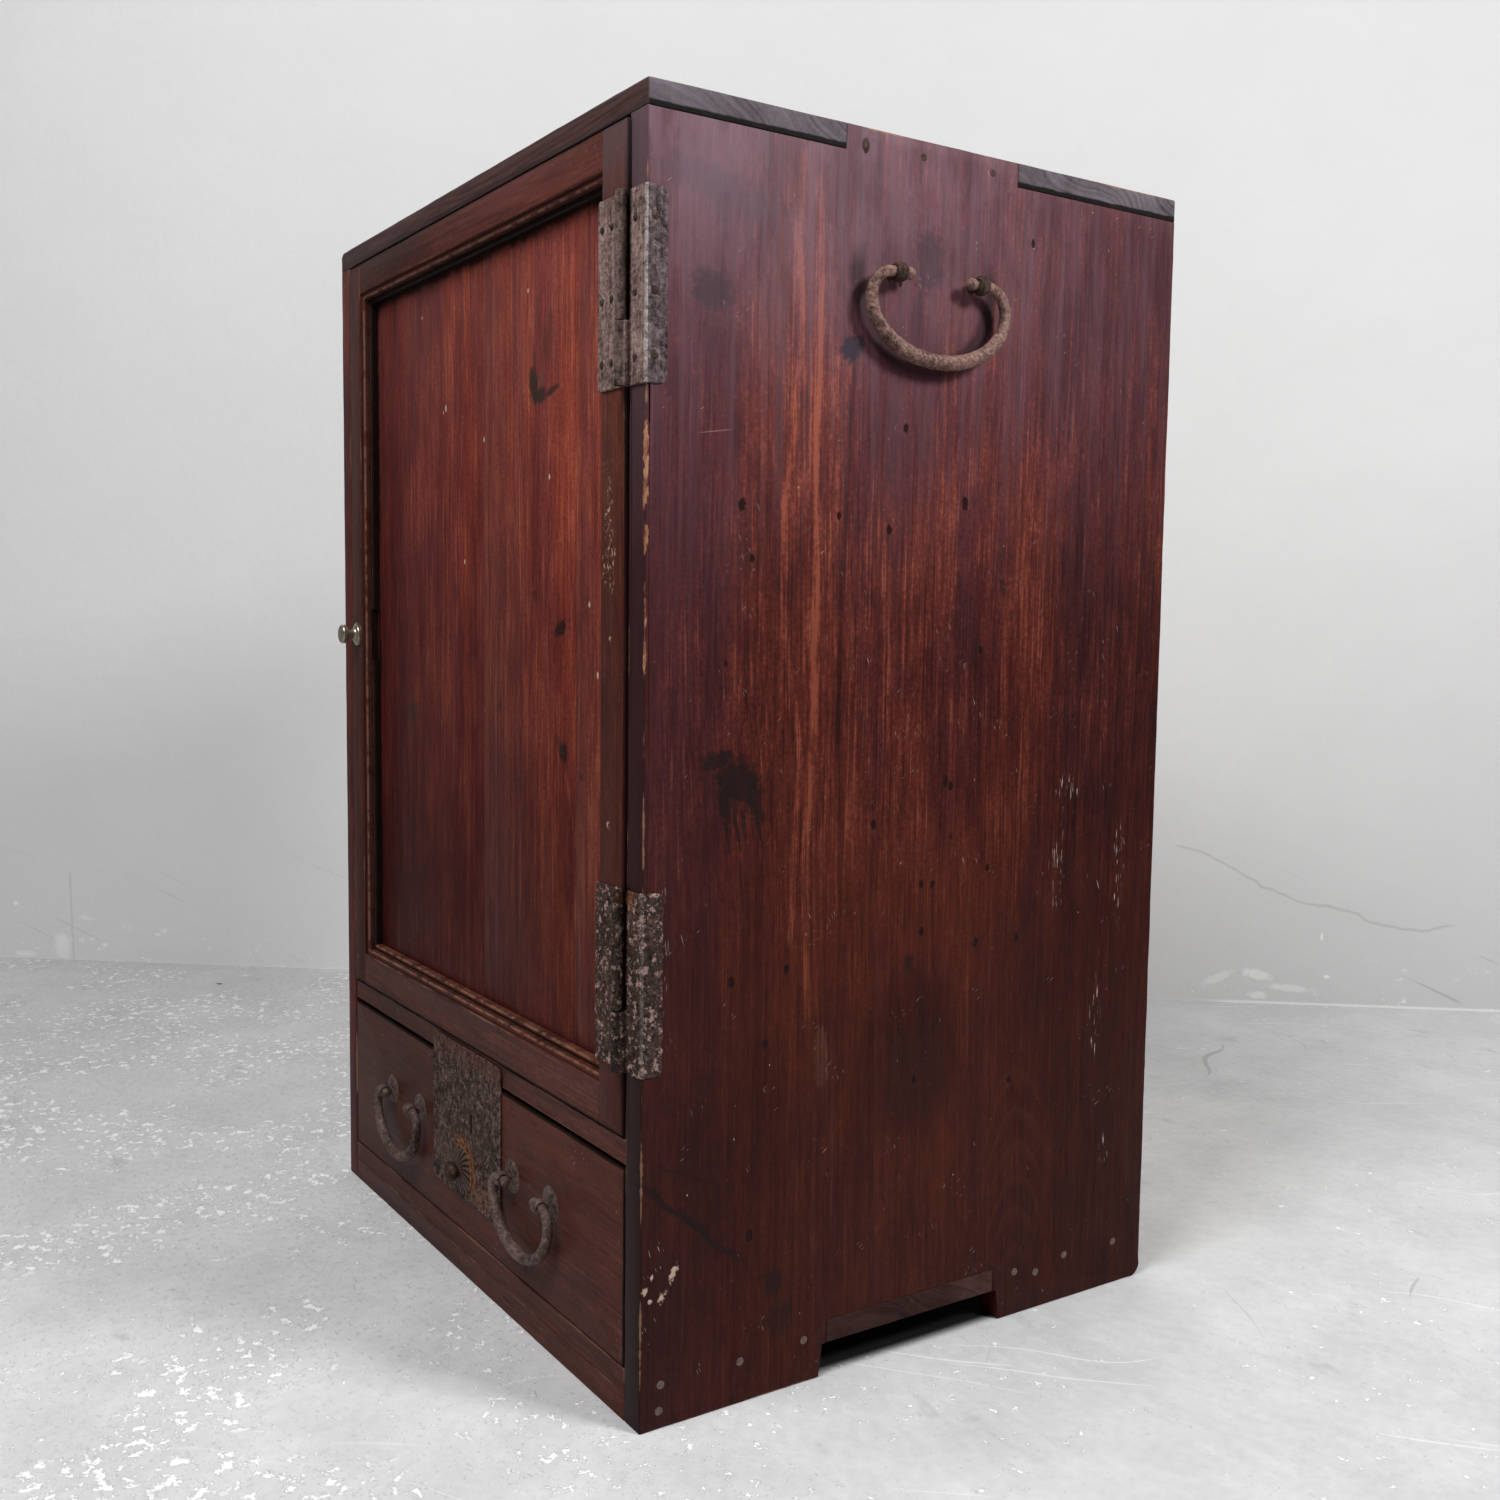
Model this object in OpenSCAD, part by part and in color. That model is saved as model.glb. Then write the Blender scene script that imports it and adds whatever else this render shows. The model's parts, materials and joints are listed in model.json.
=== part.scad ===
// Tall wooden box chest with one framed door over one drawer and forged iron hardware.
// Millimetres, +Z up, the front faces -Y. The origin is the middle of the floor rectangle.

/* [Carcass] */
// Height of the carcass
body_h = 740; // [660:5:820]
// Width of the carcass
body_w = 486; // [440:2:560]
// Depth of the carcass
body_d = 404; // [370:2:460]
// Thickness of the side boards
side_t = 18; // [16:0.5:22]
// Thickness of the top board
top_t = 14.5; // [12:0.5:18]
// Thickness of the bottom board
floor_t = 14.5; // [12:0.5:18]
// Thickness of the divider under the door
divider_t = 14.5; // [13:0.5:18]
// Thickness of the back boards
back_t = 8; // [6:0.5:10]
// Height of the cut-out under the bottom board
foot_h = 20.5; // [18:0.5:30]
// Length of the front feet
foot_front_l = 127; // [115:1:140]
// Length of the rear feet
foot_rear_l = 136; // [120:1:145]
// Length of the top board's front fingers
finger_front_l = 130; // [110:1:145]
// Length of the top board's rear fingers
finger_rear_l = 142; // [120:1:155]
// Height of the rail under the drawer
rail_h = 14.5; // [10:0.5:16]
// Thickness of the apron under that rail
apron_t = 18; // [16:0.5:22]
// Radius of the rear feet's lower corner
foot_corner_r = 9; // [4:1:14]
// Wear of the top board's left arris
arris_wear = 4; // [1:0.5:6]
// Depth of the divider's housing in the side boards
housing_d = 5; // [3:0.5:8]

/* [Cabinet] */
// Height of the shelf above the divider
shelf_up = 276; // [220:2:330]
// Thickness of the shelf
shelf_t = 12; // [9:0.5:16]
// Side of the square shelf cleats and of the door stop
cleat_s = 12; // [9:0.5:15]
// Distance of the shelf's front edge behind the door
shelf_setback = 10; // [6:1:30]

/* [Door] */
// Thickness of the door frame
door_t = 21; // [20:0.5:25]
// How far the door stands in front of the carcass
door_proud = 1; // [0.5:0.25:2]
// Width of the stile that carries the knob
lock_stile_w = 23; // [21:0.5:32]
// Width of the stile that carries the hinges
hinge_stile_w = 28; // [24:0.5:34]
// Width of the top rail
top_rail_w = 22; // [20:0.5:32]
// Width of the bottom rail
bottom_rail_w = 24; // [20:0.5:34]
// Thickness of the panel boards
panel_t = 6; // [4:0.5:7]
// Depth of the panel's face behind the frame's face
panel_recess = 11.5; // [9:0.5:12]
// Place of the first panel seam, right of the middle
panel_seam_a = 6; // [-30:1:40]
// Place of the second panel seam, right of the middle
panel_seam_b = 142; // [90:1:165]
// Depth of the panel groove in the frame
groove_d = 6; // [4:0.5:7]
// Length of the rails' tenons
door_tenon_l = 15; // [10:0.5:17]
// Thickness of the rails' tenons
door_tenon_t = 7; // [5:0.5:8]

/* [Moulding] */
// Width of the stepped moulding round the panel
mould_w = 8; // [7:0.5:12]
// Depth of the moulding's first bead behind the frame's face
mould_first = 2; // [1:0.25:3]
// Depth of the moulding's second bead behind the frame's face
mould_second = 6.2; // [5:0.2:7]
// Length of the old mortise in the left moulding
mould_slot_l = 39; // [20:1:60]

/* [Drawer] */
// Height of the drawer front
drawer_h = 115.5; // [105:0.5:140]
// Thickness of the drawer front
drawer_front_t = 18; // [16:0.5:22]
// Thickness of the drawer sides
drawer_side_t = 10; // [8:0.5:12]
// Thickness of the drawer back
drawer_back_t = 9; // [7:0.5:12]
// Thickness of the drawer bottom
drawer_bottom_t = 6; // [5:0.5:8]
// How far the drawer front laps below the bottom board's top
drawer_lap = 4; // [3:0.5:5]
// Room behind the closed drawer
drawer_rear_gap = 6; // [3:1:12]
// Depth of the rebate in the drawer front for each side
drawer_rebate = 12; // [8:0.5:13]

/* [Hinges] */
// Height of a hinge
hinge_h = 103; // [80:1:130]
// Distance of a hinge's middle from the door's end
hinge_inset = 90; // [75:1:130]
// Width of a hinge's door leaf
hinge_leaf_w = 31; // [27:0.5:36]
// Length of the carcass leaf's part on the side board
hinge_wrap = 12.5; // [9:0.5:20]
// Thickness of the leaves
leaf_t = 1.3; // [1:0.1:1.8]
// Radius of the hinge barrel
barrel_r = 3.3; // [2.8:0.1:3.8]
// Radius of the hinge pin
pin_r = 1.5; // [1.2:0.1:1.8]
// Share of the barrel that the lower knuckle takes
knuckle_share = 0.335; // [0.25:0.01:0.5]
// Radius of the leaves' outer corners
leaf_corner_r = 4; // [2:0.5:6]

/* [Lock] */
// Width of the lock plate
plate_w = 116; // [90:1:124]
// Height of the lock plate
plate_h = 108; // [100:0.5:109]
// Thickness of the lock plate
plate_t = 1.3; // [1:0.1:1.8]
// Distance of the plate's top below the divider's top
plate_drop = 1.5; // [1:0.25:4]
// Radius of the plate's corners
plate_corner_r = 4; // [2:0.5:8]
// Place of the keyhole, right of the middle
keyhole_x = 10; // [0:0.5:20]
// Height of the keyhole's middle above the plate's lower edge
keyhole_up = 57; // [52:0.5:62]
// Length of the keyhole
keyhole_l = 13; // [9:0.5:16]
// Width of the keyhole
keyhole_w = 3; // [2:0.25:4]
// Radius of the round boss
boss_r = 18; // [14:0.5:19]
// Height of the boss's dome
boss_h = 3.2; // [2:0.2:4]
// Place of the boss, left of the middle
boss_left = 6; // [0:0.5:12]
// Height of the boss's middle above the plate's lower edge
boss_up = 20.5; // [19.5:0.5:24]
// Radius of the bulb on the boss
bulb_r = 7; // [5:0.5:8]
// Half the bulb's depth
bulb_half = 4.8; // [4:0.2:5]
// Distance of the bulb's middle from the plate
bulb_out = 8; // [7:0.5:8.5]
// Width of the lock case
case_w = 50; // [40:1:60]
// Height of the lock case
case_h = 44; // [40:1:48]
// Depth of the lock case
case_d = 11; // [9:0.5:12]
// Width of the lock bolt
bolt_w = 18; // [12:1:24]
// Thickness of the lock bolt
bolt_t = 3; // [2:0.5:4]
// Travel of the lock bolt
bolt_travel = 8; // [5:0.5:9]

/* [Drawer bails] */
// Place of the left bail, left of the middle
bail_left_x = 114; // [108:1:120]
// Place of the right bail, right of the middle
bail_right_x = 102; // [100:1:120]
// Height of the bail's axis above the drawer front's lower edge
bail_up = 64.5; // [58:0.5:72]
// Distance between a bail's posts
bail_span = 56; // [50:1:64]
// Distance of the bail's axis from the drawer front
bail_out = 8; // [7.5:0.25:10]
// Radius of the posts' eyes
bail_eye_r = 5; // [4.4:0.2:5.4]
// Radius of a bail's ends
bail_end_r = 2.5; // [2:0.1:2.8]
// Radius of a bail's middle
bail_mid_r = 4; // [3.4:0.1:4.6]
// Reach of a bail's sides past its posts
bail_bulge = 12.5; // [10:0.5:16]
// Drop of a bail's middle below its axis
bail_drop = 41; // [34:0.5:46]
// Radius of the roses behind the posts
rose_r = 11.5; // [9:0.5:13]
// Height of the roses' domes
rose_h = 2.2; // [1.5:0.1:2.4]

/* [Carrying bails] */
// Place of the carrying bails behind the carcass's front
grip_y = 194; // [180:1:210]
// Distance of the carrying bails' axis below the carcass's top
grip_down = 80.5; // [60:0.5:120]
// Distance between a carrying bail's posts
grip_span = 63; // [55:1:75]
// Distance of the carrying bail's axis from the side board
grip_out = 9.5; // [8.5:0.25:12]
// Radius of the carrying posts' eyes
grip_eye_r = 6; // [5:0.25:6.5]
// Radius of a carrying bail's ends
grip_end_r = 2.9; // [2.4:0.1:3.2]
// Radius of a carrying bail's middle
grip_mid_r = 4.7; // [3.8:0.1:5.4]
// Reach of a carrying bail's sides past its posts
grip_bulge = 20; // [14:0.5:26]
// Drop of a carrying bail's middle below its axis
grip_drop = 48.5; // [42:0.5:60]

/* [Knob] */
// Place of the knob's axis inside the door's edge
knob_in = 13; // [12:0.5:14]
// Distance of the knob's axis below the door's top
knob_down = 281; // [240:1:320]
// Reach of the knob in front of the door
knob_l = 14; // [13:0.5:18]
// Radius of the knob's head
knob_r = 7.2; // [6:0.2:8]
// Length of the knob's head
knob_head_l = 5; // [4:0.25:6]
// Radius of the knob's neck
knob_neck_r = 3.6; // [3.2:0.1:4.2]
// Radius of the knob's rose
knob_rose_r = 9; // [7.5:0.25:9.5]
// Height of the knob's rose
knob_rose_h = 4.2; // [3:0.2:5]
// Radius of the spindle through the door
spindle_r = 2.8; // [2.2:0.1:3]
// Reach of the latch tongue from the knob's axis
tongue_l = 21.5; // [20:0.25:23]
// Width of the latch tongue
tongue_w = 10; // [7:0.5:12]
// Thickness of the latch tongue
tongue_t = 3; // [2:0.25:4]

/* [Nails and pegs] */
// Radius of the wood pegs in the sides
peg_r = 2.5; // [2:0.1:3]
// Length of the wood pegs
peg_l = 32; // [26:1:38]
// Radius of the nails' shanks
nail_r = 1; // [0.8:0.1:1.2]
// Radius of the nails' heads
nail_head_r = 2.2; // [1.8:0.1:2.6]
// Length of the nails' shanks
nail_l = 11; // [8:0.5:12]
// Length of the carcass hinge nails' shanks
hinge_nail_l = 7; // [5:0.5:7.5]

/* [Fits] */
// Gap between the door and the side boards
door_gap_side = 2; // [1.5:0.25:3]
// Gap above and below the door
door_gap = 1.6; // [1:0.2:3]
// Gap at the drawer's sides
drawer_gap = 1.5; // [1:0.25:2.5]
// Gap above the drawer
drawer_top_gap = 3; // [1:0.25:4]
// Gap of a part that rests on or against another
rest_gap = 0.3; // [0.2:0.05:0.5]
// Running clearance of pins and bail ends
run_gap = 0.06; // [0.03:0.01:0.09]
// Setback of the divider behind the carcass's front
divider_setback = 0.6; // [0.4:0.1:1.5]

/* [Hidden] */
$fn = 48;
cut = 1;
half_w = body_w / 2;
half_in = half_w - side_t;
back_y = body_d - back_t;
top_z = body_h - top_t;
floor_z = foot_h + floor_t;
rail_z = floor_z - drawer_lap;
apron_h = rail_z - rail_h;
tenon_shoulder = 3;
tenon_y0 = foot_front_l + tenon_shoulder;
tenon_y1 = body_d - foot_rear_l - tenon_shoulder;
foot_slope = 2.5;
rebate_w = side_t / 2;

drawer_low_gap = 0.8;
drawer_z0 = rail_z + drawer_low_gap;
drawer_z1 = drawer_z0 + drawer_h;
drawer_half = half_in - drawer_gap;
drawer_end = back_y - drawer_rear_gap;
drawer_floor = floor_z + rest_gap;
drawer_side_z0 = drawer_floor + drawer_bottom_t;
drawer_side_down = 2;
drawer_back_down = 7;
drawer_side_z1 = drawer_z1 - drawer_side_down;
drawer_back_z1 = drawer_side_z1 - drawer_back_down;
rail_t = drawer_front_t + rest_gap;
divider_z0 = drawer_z1 + drawer_top_gap;
divider_z1 = divider_z0 + divider_t;
housing_y = 20;

door_half = half_in - door_gap_side;
door_z0 = divider_z1 + door_gap;
door_z1 = top_z - door_gap;
door_face = -door_proud;
door_back = door_t - door_proud;
open_x0 = -door_half + lock_stile_w;
open_x1 = door_half - hinge_stile_w;
open_z0 = door_z0 + bottom_rail_w;
open_z1 = door_z1 - top_rail_w;
panel_y = door_face + panel_recess;
panel_in = groove_d - 0.5;
tenon_y = door_face + (door_t - door_tenon_t) / 2;
tenon_edge = 5;
tenon_inner = groove_d + 2;

shelf_z = divider_z1 + shelf_up;
shelf_y = door_back + shelf_setback;
shelf_side_gap = 0.5;
cleat_end = 12;

axis_x = door_half;
barrel_clear = 0.4;
axis_y = door_face - barrel_r - barrel_clear;
bore_r = pin_r + run_gap;
knuckle_gap = 0.3;
leaf_notch = barrel_r + 0.5;
hinge_zs = [door_z0 + hinge_inset, door_z1 - hinge_inset];
nail_head_h = 0.8;
nail_rises = [-0.36, -0.03, 0.345];
door_nail_ins = [hinge_stile_w * 0.52, hinge_stile_w * 0.91];
front_nail_in = (side_t + door_gap_side) / 2;
wrap_nail_in = 4.5;

plate_z1 = divider_z1 - plate_drop;
plate_z0 = plate_z1 - plate_h;
keyhole_z = plate_z0 + keyhole_up;
boss_z = plate_z0 + boss_up;
boss_x = -boss_left;
boss_stem_r = 2;
boss_neck_r = bulb_r * 0.62;
case_wall = 1.5;
case_down = 2.5;
case_z1 = drawer_z1 - case_down;
case_z0 = case_z1 - case_h;
case_y = drawer_front_t - case_d;
case_x0 = keyhole_x - case_w / 2;
case_x1 = keyhole_x + case_w / 2;
bolt_x0 = keyhole_x - bolt_w / 2;
bolt_x1 = keyhole_x + bolt_w / 2;
bolt_in = 6;
bolt_down = 0.7;
bolt_tail_w = 6;
bolt_tail_h = 8;
bolt_rise = 6;
bolt_y = drawer_front_t - bolt_in;
bolt_z1 = drawer_z1 - bolt_down;
bolt_z0 = case_z0 + case_wall + bolt_rise;
plate_nail_in = 6;
drawer_peg_r = nail_r * 1.5;
drawer_peg_l = drawer_side_t * 2;
drawer_peg_tip = 0.5;

bail_z = drawer_z0 + bail_up;
eye_half = 3.2;
eye_rim = 0.8;
bail_xs = [-bail_left_x, bail_right_x];
clinch_l = 9;
clinch_t = 2;
clinch_w = 4;
stem_r = 2.6;
grip_stem_r = 3.2;
grip_z = body_h - grip_down;
grip_eye_half = 3.8;

knob_x = -door_half + knob_in;
knob_z = door_z1 - knob_down;
tongue_gap = 0.4;
tongue_round = 2;
tongue_y = door_back + tongue_gap;
tongue_tail = 6;
mortise_room = 1;

front_reach = max(door_proud + knob_l, bail_out + bail_eye_r, plate_t + bulb_out + bulb_half);
front_y = (front_reach - body_d) / 2;

peg_rear_shares = [0.88, 0.74, 0.545, 0.2];
peg_rear_rises = [1.5, -3, 3, 2];
peg_front_shares = [0.53, 0.89];
peg_front_rises = [-2.4, -1.2];
top_nail_shares = [0.1, 0.43, 0.84];
back_nail_shares = [0.06, 0.24, 0.42, 0.6, 0.78, 0.95];
back_row_shares = [-0.8, -0.27, 0.27, 0.8];
back_seams = [-0.36, 0.3];

wood_side = [0.25, 0.09, 0.075];
wood_frame = [0.2, 0.085, 0.07];
wood_panel = [0.33, 0.1, 0.07];
wood_inner = [0.55, 0.4, 0.26];
iron = [0.2, 0.15, 0.13];
iron_worn = [0.34, 0.24, 0.2];
brass = [0.62, 0.52, 0.36];

// Everything below is drawn with y = 0 at the carcass's front edges and moved here.
module at_front() {
    translate([0, front_y, 0]) children();
}

// A box given by its lowest and highest corners.
module block(low, high) {
    translate(low) cube(high - low);
}

// Extrudes an outline drawn in (y, z) along +X from x.
module across(x, width) {
    translate([x, 0, 0]) rotate([90, 0, 90]) linear_extrude(width) children();
}

// Extrudes an outline drawn in (x, z) along +Y from y.
module behind(y, depth) {
    translate([0, y + depth, 0]) rotate([90, 0, 0]) linear_extrude(depth) children();
}

// A rod along +X, and one along +Y, from the given point.
module rod_x(p, r, l) {
    translate(p) rotate([0, 90, 0]) cylinder(r = r, h = l);
}

module rod_y(p, r, l) {
    translate(p) rotate([-90, 0, 0]) cylinder(r = r, h = l);
}

// A rectangle in (x, z) with round corners on its left end only, on its right end only or on both.
module round_ends(x0, x1, z0, z1, r, left, right) {
    difference() {
        translate([x0, z0]) square([x1 - x0, z1 - z0]);
        if (left) corner_cuts(x0, z0, z1, r, 1);
        if (right) corner_cuts(x1, z0, z1, r, -1);
    }
}

module corner_cuts(x, z0, z1, r, dir) {
    for (end = [[z0, 1], [z1, -1]]) {
        translate([x, end[0]]) scale_signs(dir, end[1]) difference() {
            translate([-cut, -cut]) square([r + cut, r + cut]);
            translate([r, r]) circle(r = r);
        }
    }
}

module scale_signs(sx, sy) {
    mirror([sx < 0 ? 1 : 0, 0]) mirror([0, sy < 0 ? 1 : 0]) children();
}

// Wood pegs low in the sides: one in the rail, one in the apron and the rest in the bottom board.
function peg_spots() = concat(
    [[rail_t * 0.75, rail_z - rail_h * 0.35], [apron_t * 0.7, apron_h * 0.65]],
    [for (i = [0:1]) [foot_front_l * peg_front_shares[i], foot_h + floor_t / 2 + peg_front_rises[i]]],
    [for (i = [0:3])
        [body_d - foot_rear_l * peg_rear_shares[i], foot_h + floor_t / 2 + peg_rear_rises[i]]]
);

module pegs(extra) {
    for (side = [-1, 1]) {
        for (s = peg_spots()) {
            rod_x([side > 0 ? half_w - peg_l : -half_w - (extra > 0 ? cut : 0), s[0], s[1]],
                  peg_r + extra, peg_l + (extra > 0 ? cut : 0));
        }
    }
}

// Nails through the side boards' middle fingers into the top board's ends.
module top_nails_shape(extra) {
    finger_l = body_d - finger_front_l - finger_rear_l;
    for (side = [-1, 1]) {
        for (share = top_nail_shares) {
            translate([side * half_w, finger_front_l + finger_l * share, top_z + top_t / 3])
                rotate([0, side * 90, 0]) sunk_nail(side_t + nail_l, extra);
        }
    }
}

// A nail driven along -Z, with its flat head flush with z = 0.
module sunk_nail(l, extra) {
    translate([0, 0, -cut]) cylinder(r = nail_head_r + extra, h = cut + (extra > 0 ? cut : 0));
    translate([0, 0, -l]) cylinder(r = nail_r + extra, h = l - cut / 2);
}

// A nail driven along -Z through a leaf, with a low domed head that stands on z = 0.
module leaf_nail(through, l) {
    cylinder(r1 = nail_head_r, r2 = nail_head_r * 0.55, h = nail_head_h);
    translate([0, 0, -through - l]) cylinder(r = nail_r, h = through + l + nail_head_h / 4);
}

module leaf_nail_hole(through, l) {
    deep = through + l + rest_gap;
    translate([0, 0, -deep]) cylinder(r = nail_r + run_gap, h = deep + cut);
}

// Nails that hold the back boards to the sides, the bottom board and the divider.
module back_nails_shape(extra) {
    back_h = top_z - foot_h;
    for (side = [-1, 1]) {
        for (share = back_nail_shares) {
            translate([side * (half_in + rebate_w / 2), body_d, foot_h + back_h * share])
                rotate([-90, 0, 0]) sunk_nail(back_t + nail_l, extra);
        }
    }
    for (z = [foot_h + floor_t / 2, divider_z0 + divider_t / 2]) {
        for (share = back_row_shares) {
            translate([half_in * share, body_d, z])
                rotate([-90, 0, 0]) sunk_nail(back_t + nail_l, extra);
        }
    }
}

// Posts of the carrying bails: spots are [y, side].
module each_grip_post() {
    for (side = [-1, 1]) {
        for (end = [-1, 1]) {
            translate([side * half_w, grip_y + end * grip_span / 2, grip_z])
                rotate([0, 0, side * 90]) children();
        }
    }
}

// Posts of the drawer bails.
module each_bail_post() {
    for (x = bail_xs) {
        for (end = [-1, 1]) {
            translate([x + end * bail_span / 2, 0, bail_z]) children();
        }
    }
}

// An eye post that stands out along -Y. Its shank goes through a board of the given thickness
// and its two legs are clinched flat on the far side. The eye's bore runs along X.
module eye_post(out, eye_r, eye_w, shank_r, end_r, board) {
    difference() {
        union() {
            intersection() {
                translate([0, -out, 0]) sphere(r = eye_r);
                block([-eye_w, -out - eye_r, -eye_r], [eye_w, -out + eye_r, eye_r]);
            }
            rod_y([0, -out + end_r + eye_rim, 0], shank_r, out - end_r - eye_rim + board + clinch_t);
            block([-clinch_w / 2, board, -clinch_l], [clinch_w / 2, board + clinch_t, clinch_l]);
        }
        rod_x([-eye_w - cut, -out, 0], end_r + run_gap, 2 * (eye_w + cut));
    }
}

// Outline of a bail in its own plane. The right half runs from the eye outwards round an elbow
// and down a quarter ellipse to the middle. Each entry is [x, z, heading x, heading z, share].
elbow_steps = 6;
arc_steps = 15;
ring_sides = 16;

function bail_elbow(start, r) = [
    for (i = [0:elbow_steps - 1])
    let (a = 90 * i / elbow_steps)
    [start + r * sin(a), -r + r * cos(a), cos(a), -sin(a), 0.28 * i / elbow_steps]
];

function bail_arc(a_len, b_len, top) = [
    for (i = [0:arc_steps])
    let (b = 90 * i / arc_steps, hx = -a_len * sin(b), hz = -b_len * cos(b), n = norm([hx, hz]))
    [a_len * cos(b), top - b_len * sin(b), hx / n, hz / n, 0.28 + 0.72 * i / arc_steps]
];

function bail_half(start, r, drop) = concat(bail_elbow(start, r), bail_arc(start + r, drop - r, -r));

function bail_path(start, r, drop) =
    let (half = bail_half(start, r, drop), last = len(half) - 1)
    concat(half, [
        for (i = [last - 1:-1:0])
        let (p = half[i])
        [-p[0], p[1], p[2], -p[3], p[4]]
    ]);

module bail_tube(start, r, drop, end_r, mid_r) {
    path = bail_path(start, r, drop);
    rings = len(path);
    function thick(share) = end_r + (mid_r - end_r) * pow(sin(90 * share), 1.5);
    points = [
        for (p = path)
        for (k = [0:ring_sides - 1])
        let (a = 360 * k / ring_sides, t = thick(p[4]))
        [p[0] - p[3] * t * cos(a), t * sin(a), p[1] + p[2] * t * cos(a)]
    ];
    sides = [
        for (i = [0:rings - 2])
        for (k = [0:ring_sides - 1])
        let (a = i * ring_sides + k, b = i * ring_sides + (k + 1) % ring_sides)
        each [[a, b, b + ring_sides], [a, b + ring_sides, a + ring_sides]]
    ];
    first_cap = [for (k = [ring_sides - 1:-1:0]) k];
    last_cap = [for (k = [0:ring_sides - 1]) (rings - 1) * ring_sides + k];
    polyhedron(points = points, faces = concat([first_cap, last_cap], sides), convexity = 6);
}

// A bail that hangs in the XZ plane from the origin's X axis, with its ends in two eyes.
module bail(span, eye_w, bulge, drop, end_r, mid_r) {
    shoulder = 0.6;
    start = span / 2 + eye_w + shoulder;
    tip_r = end_r + 0.9;
    tip_x = span / 2 - eye_w - shoulder - tip_r * 0.8;
    bail_tube(start, bulge - eye_w - shoulder, drop, end_r + 0.4, mid_r);
    for (side = [-1, 1]) {
        rod_x([side > 0 ? tip_x : -start - cut, 0, 0], end_r, start + cut - tip_x);
        translate([side * tip_x, 0, 0]) sphere(r = tip_r);
    }
}

// A shallow dome on the plane y = 0 that stands out along -Y.
module dome(r, h) {
    ball_r = (r * r + h * h) / (2 * h);
    rotate([90, 0, 0]) rotate_extrude($fn = 96) intersection() {
        translate([0, h - ball_r]) circle(r = ball_r, $fn = 180);
        square([r + cut, h + cut]);
    }
}

// Side board, drawn for the right side and mirrored for the left one.
module side_outline() {
    difference() {
        union() {
            square([body_d, top_z]);
            translate([finger_front_l, 0]) square([body_d - finger_front_l - finger_rear_l, body_h]);
        }
        polygon([
            [foot_front_l - foot_slope, -cut], [foot_front_l, foot_h],
            [body_d - foot_rear_l, foot_h], [body_d - foot_rear_l + foot_slope, -cut]
        ]);
        translate([tenon_y0, foot_h - cut]) square([tenon_y1 - tenon_y0, floor_t + cut]);
        translate([body_d - foot_corner_r, foot_corner_r]) difference() {
            translate([0, -foot_corner_r - cut]) square(foot_corner_r + cut);
            circle(r = foot_corner_r);
        }
    }
}

module side_board(left) {
    difference() {
        mirror([left ? 1 : 0, 0, 0]) difference() {
            across(half_in, side_t) side_outline();
            block([half_in - cut, back_y, foot_h], [half_in + rebate_w, body_d + cut, top_z + cut]);
            block([half_in - cut, housing_y, divider_z0],
                  [half_in + housing_d, back_y + cut, divider_z1]);
        }
        pegs(run_gap);
        top_nails_shape(run_gap);
        back_nails_shape(run_gap);
        each_grip_post() rod_y([0, -cut, 0], grip_stem_r + run_gap, side_t + 2 * cut);
        if (left) latch_mortise();
        if (!left) each_carcass_hinge_nail() leaf_nail_hole(leaf_t, hinge_nail_l);
    }
}

// Room in the left side board for the latch tongue, from hanging to level.
module latch_mortise() {
    block([-door_half + knob_in - tongue_l - mortise_room, tongue_y - mortise_room, knob_z - tongue_l],
          [-half_in + cut, tongue_y + tongue_t + mortise_room, knob_z + tongue_w / 2 + mortise_room]);
}

module side_board_left() {
    color(wood_side) at_front() side_board(true);
}

module side_board_right() {
    color(wood_side) at_front() side_board(false);
}

// The top board's end grain shows as a front and a rear finger on each side.
module top_board() {
    color(wood_side) at_front() difference() {
        block([-half_w, 0, top_z], [half_w, body_d, body_h]);
        for (side = [-1, 1]) {
            block([side > 0 ? half_in : -half_w - cut, finger_front_l, top_z - cut],
                  [side > 0 ? half_w + cut : -half_in, body_d - finger_rear_l, body_h + cut]);
        }
        behind(-cut, body_d + 2 * cut) polygon([
            [-half_w - cut, body_h - arris_wear - cut],
            [-half_w + arris_wear * 1.4 + cut, body_h + cut],
            [-half_w - cut, body_h + cut]
        ]);
        top_nails_shape(run_gap);
    }
}

// The bottom board's through tenons fill the top of the side boards' cut-outs.
module bottom_board() {
    color(wood_side) at_front() difference() {
        union() {
            block([-half_in, rail_t, foot_h], [half_in, back_y, floor_z]);
            block([-half_w, tenon_y0, foot_h], [half_w, tenon_y1, floor_z]);
        }
        pegs(run_gap);
        back_nails_shape(run_gap);
    }
}

module front_rail() {
    color(wood_frame) at_front() difference() {
        block([-half_in, 0, apron_h], [half_in, rail_t, rail_z]);
        pegs(run_gap);
    }
}

module apron() {
    color(wood_frame) at_front() difference() {
        block([-half_in, 0, 0], [half_in, apron_t, apron_h]);
        pegs(run_gap);
    }
}

// The divider is the cabinet's floor. Its underside has the mortise for the lock bolt.
module divider_board() {
    color(wood_frame) at_front() difference() {
        union() {
            block([-half_in, divider_setback, divider_z0], [half_in, back_y, divider_z1]);
            block([-half_in - housing_d, housing_y, divider_z0],
                  [half_in + housing_d, back_y, divider_z1]);
        }
        block([bolt_x0 - mortise_room, bolt_y - mortise_room, divider_z0 - cut],
              [bolt_x1 + mortise_room, bolt_y + bolt_t + mortise_room,
               bolt_z1 + bolt_travel + mortise_room]);
        back_nails_shape(run_gap);
    }
}

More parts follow.
